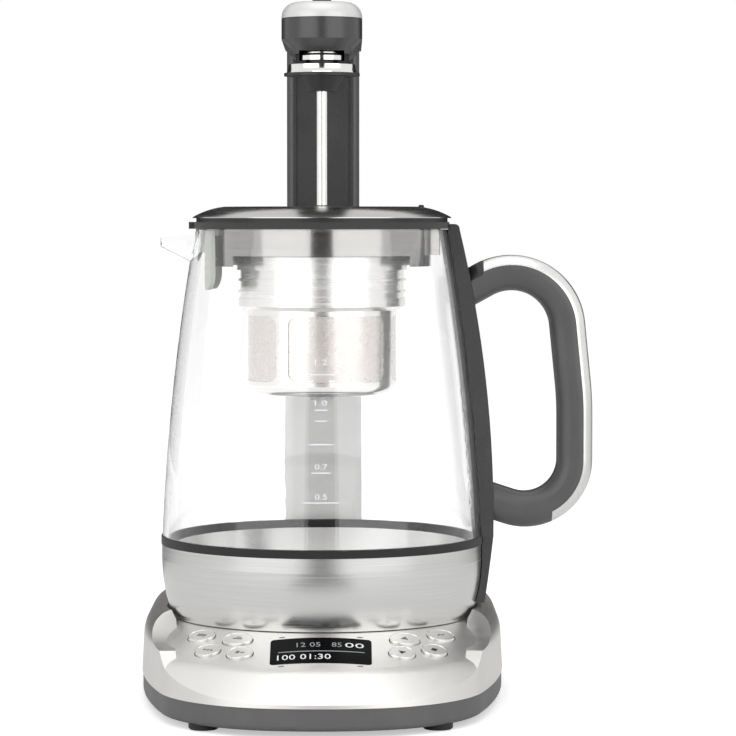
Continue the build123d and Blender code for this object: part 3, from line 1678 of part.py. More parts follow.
with BuildPart() as spout_guard:
    add(wedge(guard_bottom, guard_radius - guard_wall, guard_radius, spout_angle, guard_half_angle + overcut))
    extrude(amount=guard_drop + gasket_ring_height)
    add(wedge(gasket_base - guard_shelf, skirt_radius + joint_gap, guard_radius, spout_angle,
              guard_half_angle))
    extrude(amount=guard_shelf)
    add(guard_window.part, mode=Mode.INTERSECT)
    with BuildSketch(Plane.XY.offset(gasket_base - lug_drop)):
        with Locations((-(lug_tip_radius + guard_radius - guard_wall) / 2, 0)):
            Rectangle(lug_tip_radius - guard_radius + guard_wall, lug_width)
    extrude(amount=lug_drop)
    with BuildSketch(Plane.YZ.offset(-reach)):
        with Locations((0, guard_bottom + guard_hole_rise)):
            with GridLocations(guard_hole_pitch, guard_hole_pitch, guard_hole_columns, guard_hole_rows):
                Circle(guard_hole_radius)
    extrude(amount=reach, mode=Mode.SUBTRACT)

finish(spout_guard, "spout_guard")
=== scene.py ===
from math import cos, hypot, pi, radians, sin, sqrt

import bmesh
import bpy
from mathutils import Matrix, Vector


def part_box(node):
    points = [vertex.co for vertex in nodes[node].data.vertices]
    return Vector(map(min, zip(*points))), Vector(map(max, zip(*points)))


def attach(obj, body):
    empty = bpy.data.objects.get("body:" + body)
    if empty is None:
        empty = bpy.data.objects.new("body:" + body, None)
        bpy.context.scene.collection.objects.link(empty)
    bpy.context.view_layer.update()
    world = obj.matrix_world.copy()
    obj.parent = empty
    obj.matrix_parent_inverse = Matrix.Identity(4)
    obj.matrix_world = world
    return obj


# An automatic tea maker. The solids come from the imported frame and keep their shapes;
# this script gives them their finishes and adds the printed marks, the button rims and
# the small trim. The axes are +X to the handle, -Y to the user and +Z up.

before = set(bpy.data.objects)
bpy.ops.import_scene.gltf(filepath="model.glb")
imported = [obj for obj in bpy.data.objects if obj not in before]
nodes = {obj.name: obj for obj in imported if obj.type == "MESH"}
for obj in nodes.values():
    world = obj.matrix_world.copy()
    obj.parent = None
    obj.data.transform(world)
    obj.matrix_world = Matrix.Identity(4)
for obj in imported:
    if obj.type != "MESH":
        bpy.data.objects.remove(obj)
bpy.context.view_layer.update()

MM = 0.001

# ---------------------------------------------------------------- sizes shared with the solids
# All sizes of pieces are millimetres, and every piece is scaled to metres at its end.
dish_floor = 36.6
panel_inner_radius = 66.0        # the control panel is a cone round the jug's axis
panel_outer_radius = 97.0
panel_drop = 12.0
panel_slope = panel_drop / (panel_outer_radius - panel_inner_radius)
window_centre = 80.0             # jug axis to the middle of the display
window_stand = 0.15              # how far the display's window stands above the panel
crown_stand = 0.9                # and a button's crown
button_reach = {"inner": 74.5, "outer": 85.0}        # jug axis to the middle of a row of buttons
crown_half_width = 4.6
crown_half_length = {"inner": 6.9, "outer": 5.8}
mesh_radius = 32.5               # the basket's mesh
glass_points = ((70.4, 71.7), (65.9, 132.6), (55.6, 206.1))      # radius and level on the wall
glass_foot_radius, glass_foot_level = glass_points[0]
grip_high_root = (glass_foot_radius - 8.4, glass_foot_level + 107.3)     # the grip's middle line, as it
grip_high_corner = (glass_foot_radius + 33.7, glass_foot_level + 130.6)  # leaves the spine

# ---------------------------------------------------------------- sizes of the new pieces
print_gap = 0.02                 # under every print
print_thickness = 0.05
display_upper_row = 4.4          # the display's rows, back from its middle
display_line = -0.8
display_lower_row = -5.1
tick_x = 16.4                    # corner ticks, from the display's middle
tick_y = 11.7
mark_share = 0.8                 # of the size that the buttons' symbols are drawn at
crown_rim = 0.22                 # radius of the rim round a button's crown
rim_segments = 10
rim_steps = 72
fill_numbers = ((150.6, "1.2"), (133.6, "1.0"), (106.9, "0.7"), (94.3, "0.5"))       # level and litres
fill_number_width = 5.2
fill_number_depth = 2.3
fill_lines = ((145.4, 12.0), (130.6, 5.6), (126.0, 5.0), (116.2, 10.0), (104.3, 8.0), (91.8, 15.0))
fill_line_depth = 0.45
dash_level = 142.6               # two short dashes stand in for a word
dash_x = 4.6
stop_place = (43.6, 0, 216.1)    # middle of the lid's stop
stop_foot_radius = 1.4
stop_top_radius = 1.1
stop_height = 1.6
stop_round = 0.3
plug_end = 70.5                  # the strip's channel starts just past this
plug_level = 2.4                 # lower edge of the plug, up from the grip's middle line
plug_stand = 0.08

# ---------------------------------------------------------------- node materials


def linear(code):
    """A written sRGB colour as the linear one that the shader wants."""
    shares = [int(code[place:place + 2], 16) / 255 for place in (1, 3, 5)]
    return [*(s / 12.92 if s <= 0.04045 else ((s + 0.055) / 1.055) ** 2.4 for s in shares), 1.0]


def add(tree, kind, sockets=None, **settings):
    """Adds a node, sets its own settings, and fills or links the sockets that are named."""
    made = tree.nodes.new(kind)
    for name, value in settings.items():
        setattr(made, name, value)
    for name, value in (sockets or {}).items():
        if isinstance(value, bpy.types.NodeSocket):
            tree.links.new(value, made.inputs[name])
        else:
            made.inputs[name].default_value = value
    return made


def start(name):
    """An empty material and its node tree."""
    made = bpy.data.materials.new(name)
    made.use_nodes = True
    made.node_tree.nodes.clear()
    return made, made.node_tree


def pattern(tree, sizes, detail=2.0):
    """A noise whose patches have these three sizes in millimetres along X, Y and Z."""
    place = add(tree, "ShaderNodeTexCoord")
    scale = add(tree, "ShaderNodeMapping",
                {"Vector": place.outputs["Object"], "Scale": [1 / (s * MM) for s in sizes]})
    return add(tree, "ShaderNodeTexNoise",
               {"Vector": scale.outputs[0], "Scale": 1.0, "Detail": detail, "Roughness": 0.5}).outputs[0]


def turned_pattern(tree, along, across):
    """A noise drawn out round the Z axis, along by across millimetres, on walls and on flats."""
    place = add(tree, "ShaderNodeTexCoord")
    split = add(tree, "ShaderNodeSeparateXYZ", {0: place.outputs["Object"]})
    flat = add(tree, "ShaderNodeCombineXYZ", {"X": split.outputs["X"], "Y": split.outputs["Y"]})
    distance = add(tree, "ShaderNodeVectorMath", {0: flat.outputs[0]}, operation="LENGTH")
    rise = add(tree, "ShaderNodeMath", {0: distance.outputs["Value"], 1: split.outputs["Z"]}, operation="ADD")
    line = add(tree, "ShaderNodeCombineXYZ",
               {"X": split.outputs["X"], "Y": split.outputs["Y"], "Z": rise.outputs[0]})
    scale = add(tree, "ShaderNodeMapping",
                {"Vector": line.outputs[0], "Scale": [1 / (along * MM), 1 / (along * MM), 1 / (across * MM)]})
    return add(tree, "ShaderNodeTexNoise",
               {"Vector": scale.outputs[0], "Scale": 1.0, "Detail": 2.0, "Roughness": 0.6}).outputs[0]


def between(tree, amount, low, high):
    """A number that goes from low to high as the pattern goes from dark to light."""
    return add(tree, "ShaderNodeMapRange",
               {0: amount, 1: 0.25, 2: 0.75, 3: low, 4: high}).outputs[0]


def tinted(tree, amount, dark, light):
    """A colour between two written ones, by the pattern."""
    ramp = add(tree, "ShaderNodeValToRGB", {"Fac": amount})
    ramp.color_ramp.elements[0].position = 0.25
    ramp.color_ramp.elements[0].color = linear(dark)
    ramp.color_ramp.elements[1].position = 0.75
    ramp.color_ramp.elements[1].color = linear(light)
    return ramp.outputs["Color"]


def close_up(tree, sockets, height=None, depth=0.0):
    """Ends a material in its shader, with the pattern's height in millimetres as a bump."""
    if height is not None:
        bump = add(tree, "ShaderNodeBump", {"Height": height, "Strength": 1.0, "Distance": depth * MM})
        sockets = {**sockets, "Normal": bump.outputs["Normal"]}
    shader = add(tree, "ShaderNodeBsdfPrincipled", sockets)
    add(tree, "ShaderNodeOutputMaterial", {"Surface": shader.outputs[0]})


def brushed_stainless():
    """Pressed stainless sheet, linished along its width: soft streaks and a broad highlight.
    The real lines are a tenth of this, too fine to show."""
    made, tree = start("brushed_stainless_sheet")
    lines = pattern(tree, (45.0, 0.7, 0.7))
    clouds = pattern(tree, (60.0, 40.0, 40.0))
    close_up(tree, {
        "Base Color": tinted(tree, clouds, "#dedcd9", "#e9e7e4"),
        "Metallic": 1.0,
        "Roughness": between(tree, lines, 0.30, 0.42),
    }, lines, 0.004)
    return made


def spun_stainless(name, dark, light, low, high):
    """Stainless turned against a pad: fine rings round the axis that draw the highlight out."""
    made, tree = start(name)
    rings = turned_pattern(tree, 60.0, 0.6)
    close_up(tree, {
        "Base Color": tinted(tree, rings, dark, light),
        "Metallic": 1.0,
        "Roughness": between(tree, rings, low, high),
    }, rings, 0.003)
    return made


def polished_steel():
    """Buffed stainless: nearly a mirror, with the faint cloud that a cloth leaves."""
    made, tree = start("polished_stainless")
    cloud = pattern(tree, (9.0, 9.0, 9.0), 3.0)
    close_up(tree, {
        "Base Color": tinted(tree, cloud, "#dfdfdd", "#ecebe9"),
        "Metallic": 1.0,
        "Roughness": between(tree, cloud, 0.10, 0.17),
    }, pattern(tree, (0.8, 0.8, 0.8)), 0.0006)
    return made


def blasted_stainless(name, metallic, low, high):
    """Bead-blasted stainless: pale and even, with a soft mirror left under the bloom."""
    made, tree = start(name)
    bloom = turned_pattern(tree, 40.0, 1.2)
    close_up(tree, {
        "Base Color": tinted(tree, bloom, "#dddcda", "#e6e5e3"),
        "Metallic": metallic,
        "Roughness": between(tree, bloom, low, high),
    })
    return made


def woven_mesh():
    """Fine woven stainless cloth in the basket's windows: a warm grey with a faint grid. The real
    wires are at a third of this pitch, too fine to show."""
    made, tree = start("woven_stainless_mesh")
    place = add(tree, "ShaderNodeTexCoord")
    split = add(tree, "ShaderNodeSeparateXYZ", {0: place.outputs["Object"]})
    turn = add(tree, "ShaderNodeMath", {0: split.outputs["Y"], 1: split.outputs["X"]},
               operation="ARCTAN2")
    round_way = add(tree, "ShaderNodeMath", {0: turn.outputs[0], 1: mesh_radius * MM},
                    operation="MULTIPLY")
    way = add(tree, "ShaderNodeCombineXYZ", {"X": round_way.outputs[0], "Y": split.outputs["Z"]})
    wires = add(tree, "ShaderNodeTexBrick", {
        "Vector": way.outputs[0], "Scale": 1.0, "Color1": linear("#cdc8c5"), "Color2": linear("#c9c4c1"),
        "Mortar": linear("#d6d1ce"), "Mortar Size": 0.28 * MM, "Mortar Smooth": 0.6,
        "Brick Width": 1.1 * MM, "Row Height": 1.1 * MM,
    })
    close_up(tree, {
        "Base Color": wires.outputs["Color"],
        "Metallic": 0.65,
        "Roughness": between(tree, pattern(tree, (6.0, 6.0, 6.0)), 0.24, 0.32),
    }, wires.outputs["Fac"], 0.003)
    return made


def zinc_plated():
    """Zinc-plated steel: dull grey with crystal patches a few millimetres across."""
    made, tree = start("zinc_plated_steel")
    place = add(tree, "ShaderNodeTexCoord")
    spangle = add(tree, "ShaderNodeTexVoronoi", {"Vector": place.outputs["Object"], "Scale": 1 / (3.0 * MM)})
    patch = add(tree, "ShaderNodeSeparateColor", {"Color": spangle.outputs["Color"]})
    close_up(tree, {
        "Base Color": tinted(tree, patch.outputs[0], "#a9acae", "#c3c6c8"),
        "Metallic": 1.0,
        "Roughness": between(tree, patch.outputs[0], 0.32, 0.46),
    })
    return made


def metallic_paint(name, dark, light, metallic, low, high):
    """Sprayed metal flake under a thin satin lacquer: a fine sparkle with a soft edge light."""
    made, tree = start(name)
    flake = pattern(tree, (0.45, 0.45, 0.45), 1.0)
    close_up(tree, {
        "Base Color": tinted(tree, flake, dark, light),
        "Metallic": metallic,
        "Roughness": between(tree, pattern(tree, (14.0, 14.0, 14.0)), low, high),
        "Coat Weight": 0.35,
        "Coat Roughness": 0.22,
    }, pattern(tree, (1.1, 1.1, 1.1)), 0.002)
    return made


def moulded_plastic(name, dark, light, low, high, depth):
    """Plastic moulded in a spark-eroded tool: an even fine pebble that spreads the light."""
    made, tree = start(name)
    pebble = pattern(tree, (0.5, 0.5, 0.5))
    close_up(tree, {
        "Base Color": tinted(tree, pattern(tree, (18.0, 18.0, 18.0)), dark, light),
        "Roughness": between(tree, pebble, low, high),
        "IOR": 1.53,
    }, pebble, depth)
    return made


def silicone(name, dark, light):
    """Moulded silicone rubber: matt, with a bloom of fine dust at a grazing angle."""
    made, tree = start(name)
    dust = pattern(tree, (2.2, 2.2, 2.2), 4.0)
    close_up(tree, {
        "Base Color": tinted(tree, dust, dark, light),
        "Roughness": between(tree, dust, 0.55, 0.75),
        "IOR": 1.41,
        "Sheen Weight": 0.12,
        "Sheen Roughness": 0.5,
    }, pattern(tree, (0.5, 0.5, 0.5)), 0.004)
    return made


def borosilicate():
    """Clear blown borosilicate: clean and bright, with the long slow waves of a drawn wall."""
    made, tree = start("borosilicate_glass")
    waves = pattern(tree, (40.0, 40.0, 90.0), 1.0)
    close_up(tree, {
        "Base Color": linear("#ffffff"),
        "Roughness": 0.0,
        "IOR": 1.47,
        "Transmission Weight": 1.0,
    }, waves, 0.03)
    return made


def display_acrylic():
    """Black-backed acrylic with an anti-glare coat: deep black, with faint wiping marks."""
    made, tree = start("black_backed_acrylic")
    wipe = pattern(tree, (16.0, 3.0, 3.0), 3.0)
    close_up(tree, {
        "Base Color": tinted(tree, wipe, "#070708", "#0c0c0d"),
        "Roughness": between(tree, wipe, 0.16, 0.24),
        "Specular IOR Level": 0.02,
    })
    return made


def circuit_board():
    """Solder-masked glass-epoxy board: green with lighter copper tracks under the mask."""
    made, tree = start("solder_masked_board")
    place = add(tree, "ShaderNodeTexCoord")
    tracks = add(tree, "ShaderNodeTexBrick", {
        "Vector": place.outputs["Object"], "Scale": 1.0, "Color1": linear("#1f5a34"),
        "Color2": linear("#1c4f2f"), "Mortar": linear("#3f8a55"), "Mortar Size": 0.35 * MM,
        "Brick Width": 7.0 * MM, "Row Height": 2.6 * MM,
    })
    close_up(tree, {
        "Base Color": tracks.outputs["Color"],
        "Roughness": between(tree, pattern(tree, (5.0, 5.0, 5.0)), 0.22, 0.38),
        "IOR": 1.5,
    }, tracks.outputs["Fac"], 0.03)
    return made


def anodised_strip():
    """Clear-anodised aluminium, brushed along its length: pale, with fine upright lines."""
    made, tree = start("anodised_aluminium")
    lines = pattern(tree, (0.6, 0.6, 35.0))
    close_up(tree, {
        "Base Color": tinted(tree, lines, "#dddddb", "#e8e8e6"),
        "Metallic": 1.0,
        "Roughness": between(tree, lines, 0.24, 0.34),
    }, lines, 0.003)
    return made


def printed_ink(name, dark, light):
    """Pad-printed ink: flat and slightly uneven in cover."""
    made, tree = start(name)
    cover = pattern(tree, (0.9, 0.9, 0.9), 3.0)
    close_up(tree, {
        "Base Color": tinted(tree, cover, dark, light),
        "Roughness": between(tree, cover, 0.45, 0.6),
    })
    return made


cover_steel = brushed_stainless()
lid_steel = spun_stainless("spun_stainless_lid", "#b9b8b6", "#c5c4c2", 0.16, 0.24)
# The skirt is the lid's spun stainless in a darker tone: painted shade, for its place under the cap and
# inside the glass.
skirt_steel = spun_stainless("spun_stainless_skirt", "#959492", "#a1a09e", 0.12, 0.20)
shell_steel = spun_stainless("spun_stainless_shell", "#d2d2d1", "#dededd", 0.20, 0.28)
basket_steel = blasted_stainless("blasted_stainless_basket", 0.95, 0.14, 0.22)
neck_steel = blasted_stainless("blasted_stainless_neck", 0.85, 0.20, 0.30)
basket_cloth = woven_mesh()
bright_steel = polished_steel()
plated_steel = zinc_plated()
dark_abs = moulded_plastic("moulded_abs_dark_grey", "#565656", "#5f5f5f", 0.42, 0.56, 0.008)
# The tower's pale tone is partly its own light grey and partly painted light: it is lifted near to white to
# make up for the light that the jug keeps off its front.
tower_abs = moulded_plastic("moulded_abs_tower", "#e4e4e3", "#ebebea", 0.34, 0.46, 0.003)
black_abs = moulded_plastic("moulded_abs_black", "#191919", "#202020", 0.36, 0.46, 0.002)
spine_abs = moulded_plastic("moulded_abs_charcoal", "#3d3d3d", "#444444", 0.24, 0.32, 0.001)
guard_plastic = moulded_plastic("moulded_pp_light_grey", "#b2b5ae", "#bcbeb8", 0.36, 0.5, 0.004)
grip_plastic = moulded_plastic("soft_touch_grip", "#4e4e4e", "#555555", 0.34, 0.44, 0.002)
white_acetal = moulded_plastic("white_acetal_gear", "#d9d9d3", "#e3e3de", 0.3, 0.4, 0.002)
arm_paint = metallic_paint("grey_flake_paint", "#3f3f3f", "#484848", 0.45, 0.3, 0.4)
cap_paint = metallic_paint("silver_flake_paint", "#d3d3d1", "#dededc", 0.35, 0.42, 0.5)
seal_silicone = silicone("grey_silicone", "#343434", "#3e3e3e")
foot_silicone = silicone("black_silicone", "#1b1b1b", "#242424")
jug_glass = borosilicate()
window_acrylic = display_acrylic()
board_mask = circuit_board()
strip_aluminium = anodised_strip()
white_ink = printed_ink("white_ink", "#f2f4f6", "#fafbfc")
dim_ink = printed_ink("dim_white_ink", "#8f9396", "#9da1a4")
grey_ink = printed_ink("grey_ink", "#6a6a6a", "#767676")
black_ink = printed_ink("black_ink", "#161616", "#202020")

button_nodes = sorted(name for name in nodes if name.startswith("button_"))
finishes = {
    cover_steel: ["base_cover", *button_nodes],
    lid_steel: ["lid_cap"],
    skirt_steel: ["lid_skirt"],
    shell_steel: ["jug_base_shell", "heater_plate"],
    basket_steel: ["basket_body"],
    neck_steel: ["basket_neck", "basket_flange"],
    basket_cloth: ["basket_mesh"],
    bright_steel: ["infuser_rod", "coupling_flange", "coupling_knob", "coupling_magnet"],
    plated_steel: ["rod_nut", "base_screws", "handle_screws", "gear_motor", "motor_bracket",
                   "heating_element", "arm_pin"],
    dark_abs: ["base_pan"],
    tower_abs: ["tower_front_shell", "tower_rear_shell", "tower_collar"],
    black_abs: ["base_connector", "cord_gland", "column_shoe", "coupling_socket", "coupling_hub", "lid_core",
                "jug_connector", "release_button", "limit_switches"],
    spine_abs: ["handle_spine"],
    guard_plastic: ["spout_guard"],
    grip_plastic: ["handle_grip"],
    white_acetal: ["lift_rack", "drive_pinion"],
    arm_paint: ["lift_column", "arm_body"],
    cap_paint: ["arm_cap"],
    seal_silicone: ["lid_gasket"],
    foot_silicone: ["base_feet", "keypad_mat", "jug_ring"],
    jug_glass: ["jug_glass"],
    window_acrylic: ["display_window", "display_module"],
    board_mask: ["control_board", "power_board"],
    strip_aluminium: ["handle_strip"],
}
for finish, names in finishes.items():
    for name in names:
        nodes[name].material_slots[0].material = finish
assert sum(len(names) for names in finishes.values()) == len(nodes)

# Clear glass throws hardly any shadow, so the light reaches what stands in and behind it.
nodes["jug_glass"].visible_shadow = False

# ---------------------------------------------------------------- new pieces


def panel_level(x, y):
    """Height of the control panel's cone over a place in plan, in millimetres."""
    return dish_floor - panel_slope * (hypot(x, y) - panel_inner_radius)


def glass_wall():
    """Centre and radius of the arc that the glass wall follows, in radius and level."""
    (ax, ay), (bx, by), (cx, cy) = glass_points
    twice = 2 * (ax * (by - cy) + bx * (cy - ay) + cx * (ay - by))
    a, b, c = ax * ax + ay * ay, bx * bx + by * by, cx * cx + cy * cy
    middle = ((a * (by - cy) + b * (cy - ay) + c * (ay - by)) / twice,
              (a * (cx - bx) + b * (ax - cx) + c * (bx - ax)) / twice)
    return middle, hypot(ax - middle[0], ay - middle[1])


def glass_radius(level):
    """The glass's outside radius at a level, in millimetres."""
    middle, radius = glass_wall()
    return middle[0] + sqrt(radius ** 2 - (level - middle[1]) ** 2)


def set_down(name, form, finish):
    """An object in the scene from a bmesh in metres, with one finish."""
    data = bpy.data.meshes.new(name)
    form.to_mesh(data)
    form.free()
    data.materials.append(finish)
    made = bpy.data.objects.new(name, data)
    bpy.context.scene.collection.objects.link(made)
    return made


def piece(name, form, finish, body):
    """A finished piece from a bmesh in millimetres, closed and facing outwards."""
    bmesh.ops.remove_doubles(form, verts=form.verts, dist=0.002)
    bmesh.ops.recalc_face_normals(form, faces=form.faces)
    bmesh.ops.scale(form, vec=(MM, MM, MM), verts=form.verts)
    made = set_down(name, form, finish)
    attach(made, body)
    return made


def smooth(made):
    """Shades a rounded piece without facets."""
    for face in made.data.polygons:
        face.use_smooth = True


def raise_print(form, flat):
    """Pulls a flat print up along Z into a closed plate."""
    faces = list(dict.fromkeys(face for vert in flat["verts"] for face in vert.link_faces))
    pulled = bmesh.ops.extrude_face_region(form, geom=faces, use_keep_orig=True)
    tops = [part for part in pulled["geom"] if isinstance(part, bmesh.types.BMVert)]
    bmesh.ops.translate(form, vec=(0, 0, print_thickness), verts=tops)


def lettering(form, words, place, width, depth):
    """Adds a line of numerals that fills a box of this width and depth round a place in plan."""
    curve = bpy.data.curves.new("numerals", "FONT")
    curve.body = words
    curve.resolution_u = 2
    curve.extrude = print_thickness / 2
    holder = bpy.data.objects.new("numerals", curve)
    flat = bpy.data.meshes.new_from_object(holder)
    across = [vert.co.x for vert in flat.vertices]
    deep = [vert.co.y for vert in flat.vertices]
    centred = Matrix.Translation((-(min(across) + max(across)) / 2, -(min(deep) + max(deep)) / 2, 0))
    sized = Matrix.Diagonal((width / (max(across) - min(across)), depth / (max(deep) - min(deep)), 1, 1))
    flat.transform(Matrix.Translation((*place, print_thickness / 2)) @ sized @ centred)
    form.from_mesh(flat)
    bpy.data.objects.remove(holder)
    bpy.data.curves.remove(curve)
    bpy.data.meshes.remove(flat)


def bar(form, centre, width, depth, segments=1, lean=0.0):
    """Adds a flat printed bar with its middle at a place in plan, leaning by an angle."""
    place = Matrix.Translation((*centre, 0)) @ Matrix.Rotation(lean, 4, "Z")
    raise_print(form, bmesh.ops.create_grid(form, x_segments=segments, y_segments=1, size=0.5,
                                            matrix=place @ Matrix.Diagonal((width, depth, 1, 1))))


def disc(form, centre, sides, radius, stretch=1.0, turn=0.0):
    """Adds a flat printed disc or polygon: turned, then stretched along X, then placed."""
    place = Matrix.Translation((*centre, 0)) @ Matrix.Diagonal((stretch, 1, 1, 1))
    raise_print(form, bmesh.ops.create_circle(form, cap_ends=True, segments=sides, radius=radius,
                                              matrix=place @ Matrix.Rotation(turn, 4, "Z")))


def lay_on_panel(form, stand):
    """Drops flat prints onto the panel's cone, at a stand above it."""
    for vert in form.verts:
        vert.co.z += panel_level(vert.co.x, vert.co.y) + stand


def wrap_on_glass(form):
    """Wraps prints that are drawn upright in plan (x, level) round the front of the glass."""
    for vert in form.verts:
        level = vert.co.y
        radius = glass_radius(level) + print_gap + vert.co.z
        turn = vert.co.x / glass_radius(level)
        vert.co = (radius * sin(turn), -radius * cos(turn), level)


# What the display shows: a row of small numerals, a dividing line and a row of larger ones.
numerals = bmesh.new()
lettering(numerals, "00", (14.0, display_upper_row - window_centre), 8.0, 3.7)
lettering(numerals, "100 01:30", (-7.0, display_lower_row - window_centre), 22.3, 4.0)
lay_on_panel(numerals, window_stand + print_gap)
piece("display_numerals", numerals, white_ink, "base")

dim_numerals = bmesh.new()
lettering(dim_numerals, "12 05", (-5.2, display_upper_row - window_centre), 10.0, 3.5)
lettering(dim_numerals, "85", (6.6, display_upper_row - window_centre), 4.2, 3.5)
bar(dim_numerals, (0.2, display_line - window_centre), 36.0, 0.55, 24)
lay_on_panel(dim_numerals, window_stand + print_gap)
piece("display_dim_numerals", dim_numerals, dim_ink, "base")

# Four short ticks mark the corners of the display on the cover.
ticks = bmesh.new()
for side in (-1, 1):
    for front in (-1, 1):
        bar(ticks, (side * tick_x, front * tick_y - window_centre), 2.4, 0.7, 4)
lay_on_panel(ticks, print_gap)
piece("display_ticks", ticks, grey_ink, "base")

# The buttons' symbols, each a list of bars and discs with their settings.
symbols = {
    "bars": [(bar, ((place, 0), 0.9, 2.4)) for place in (-2.4, -0.8, 0.8, 2.4)],
    "dots": [(disc, ((place, 0), 16, 0.75)) for place in (-2.2, 0, 2.2)],
    "dash": [(bar, ((0, 0), 5.4, 0.9)), (bar, ((0, 1.5), 3.0, 0.7))],
    "block": [(bar, ((-1.3, 0), 2.0, 2.2)), (bar, ((1.5, 0), 2.2, 0.8))],
    "wave": [(bar, ((place, 0), 2.2, 0.7, 1, lean)) for place, lean in ((-1.8, 0.6), (0, -0.6), (1.8, 0.6))],
    "up": [(disc, ((0, 0), 3, 1.9, 1.25, pi / 2))],
    "down": [(disc, ((0, 0), 3, 1.9, 1.25, -pi / 2))],
    "diamond": [(disc, ((0, 0), 4, 1.7, 1.3))],
}
button_marks = {
    "button_left_inner_far": ("bars", grey_ink),
    "button_left_inner_near": ("dash", grey_ink),
    "button_left_outer_far": ("dots", grey_ink),
    "button_left_outer_near": ("block", grey_ink),
    "button_right_inner_near": ("up", grey_ink),
    "button_right_inner_far": ("wave", grey_ink),
    "button_right_outer_near": ("down", black_ink),
    "button_right_outer_far": ("diamond", black_ink),
}


def button_facing(name):
    """Puts a form drawn round the origin on a button's middle, square to the jug's axis."""
    low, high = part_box(name)
    middle = (low + high) / 2
    spot = Vector((middle.x, middle.y)).normalized() * button_reach[name.split("_")[2]]
    turn = Vector((0, -1)).angle_signed(spot)
    return Matrix.Translation((*spot, 0)) @ Matrix.Rotation(-turn, 4, "Z")


for name, (kind, ink) in button_marks.items():
    mark = bmesh.new()
    for draw, settings in symbols[kind]:
        draw(mark, *settings)
    bmesh.ops.scale(mark, vec=(mark_share, mark_share, 1), verts=mark.verts)
    bmesh.ops.transform(mark, matrix=button_facing(name), verts=mark.verts)
    lay_on_panel(mark, crown_stand + print_gap)
    piece(name + "_mark", mark, ink, name + "_key")

# A turned-over rim stands round each button's crown.
for name in button_nodes:
    half_length = crown_half_length[name.split("_")[2]]
    rim = bmesh.new()
    bmesh.ops.create_circle(rim, segments=rim_segments, radius=crown_rim, cap_ends=False,
                            matrix=Matrix.Translation((1, 0, 0)) @ Matrix.Rotation(pi / 2, 4, "X"))
    bmesh.ops.spin(rim, geom=rim.verts[:] + rim.edges[:], cent=(0, 0, 0), axis=(0, 0, 1), angle=2 * pi,
                   steps=rim_steps, use_merge=True)
    for vert in rim.verts:
        turn = Vector((vert.co.x, vert.co.y)).normalized()
        out = hypot(vert.co.x, vert.co.y) - 1
        vert.co.x = turn.x * (half_length - crown_rim + out)
        vert.co.y = turn.y * (crown_half_width - crown_rim + out)
    bmesh.ops.transform(rim, matrix=button_facing(name), verts=rim.verts)
    lay_on_panel(rim, crown_stand)
    smooth(piece(name + "_rim", rim, bright_steel, name + "_key"))

# Fill lines and numbers on the front of the glass.
marks = bmesh.new()
for level, words in fill_numbers:
    lettering(marks, words, (0, level), fill_number_width, fill_number_depth)
for level, width in fill_lines:
    bar(marks, (0, level), width, fill_line_depth, 12)
for place in (-dash_x, dash_x):
    bar(marks, (place, dash_level), 2.6, 0.9, 4)
wrap_on_glass(marks)
piece("fill_marks", marks, white_ink, "jug")

# A small rubber stop near the edge of the lid.
nub = bmesh.new()
bmesh.ops.create_cone(nub, cap_ends=True, segments=24, radius1=stop_foot_radius, radius2=stop_top_radius,
                      depth=stop_height, matrix=Matrix.Translation(stop_place))
flat_edges = [edge for edge in nub.edges if abs(edge.verts[0].co.z - edge.verts[1].co.z) < stop_round]
bmesh.ops.bevel(nub, geom=flat_edges, offset=stop_round, segments=3, profile=0.5, affect="EDGES", material=-1)
smooth(piece("lid_stop", nub, foot_silicone, "lid"))

# A black plug closes the grip's upper end, between the spine and the bright strip. It is a
# thin shell on the grip's own skin, cut off at its end and at its lower edge.
grip_root = Vector((grip_high_root[0], 0, grip_high_root[1]))
grip_way = (Vector((grip_high_corner[0], 0, grip_high_corner[1])) - grip_root).normalized()
grip_up = Vector((-grip_way.z, 0, grip_way.x))
plug = bmesh.new()
plug.from_mesh(nodes["handle_grip"].data)
bmesh.ops.scale(plug, vec=(1 / MM, 1 / MM, 1 / MM), verts=plug.verts)
bmesh.ops.remove_doubles(plug, verts=plug.verts, dist=0.002)
plug_cuts = ((Vector((plug_end, 0, 0)), Vector((1, 0, 0))), (grip_root + grip_up * plug_level, -grip_up))
for place, away in plug_cuts:
    bmesh.ops.bisect_plane(plug, geom=plug.verts[:] + plug.edges[:] + plug.faces[:], dist=0.001,
                           plane_co=place, plane_no=away, clear_outer=True)
against_spine = [face for face in plug.faces if abs(face.normal.dot(grip_way)) > 0.5]
bmesh.ops.delete(plug, geom=against_spine, context="FACES")
plug.normal_update()
for vert in plug.verts:
    vert.co += vert.normal * plug_stand
bmesh.ops.solidify(plug, geom=plug.faces[:], thickness=2 * plug_stand)
piece("grip_root_plug", plug, black_abs, "jug")

# ---------------------------------------------------------------- room, light and camera
# Lengths from here on are metres.
room_white = linear("#ffffff")
ambient_level = 0.6              # the room's light on matt surfaces, of its white in mirrors
floor_glow_level = 0.48          # lifts the floor to the background's white
floor_half_width = 6.0
floor_level = -0.0002
card_lift = 0.001                # cards of painted reflection on the table, above the floor
middle_of_object = (0, 0, 0.15)
front_lamp_place = (1.23, -1.58, 0.55)
front_lamp_power = 10.8
top_lamp_place = (0, -0.2, 1.6)
top_lamp_power = 5.9
camera_place = (0.0101, -1.380, 0.2117)
camera_pitch = 2.762             # degrees, down
camera_turn = 0.42               # degrees, to the handle's side
camera_lens = 153.4


def background_rays(tree, *others):
    """1 on the rays that see the background directly, and on the other kinds named, else 0."""
    rays = add(tree, "ShaderNodeLightPath")
    seen = rays.outputs["Is Camera Ray"]
    for kind in others:
        seen = add(tree, "ShaderNodeMath", {0: seen, 1: rays.outputs[kind]}, operation="MAXIMUM").outputs[0]
    return seen


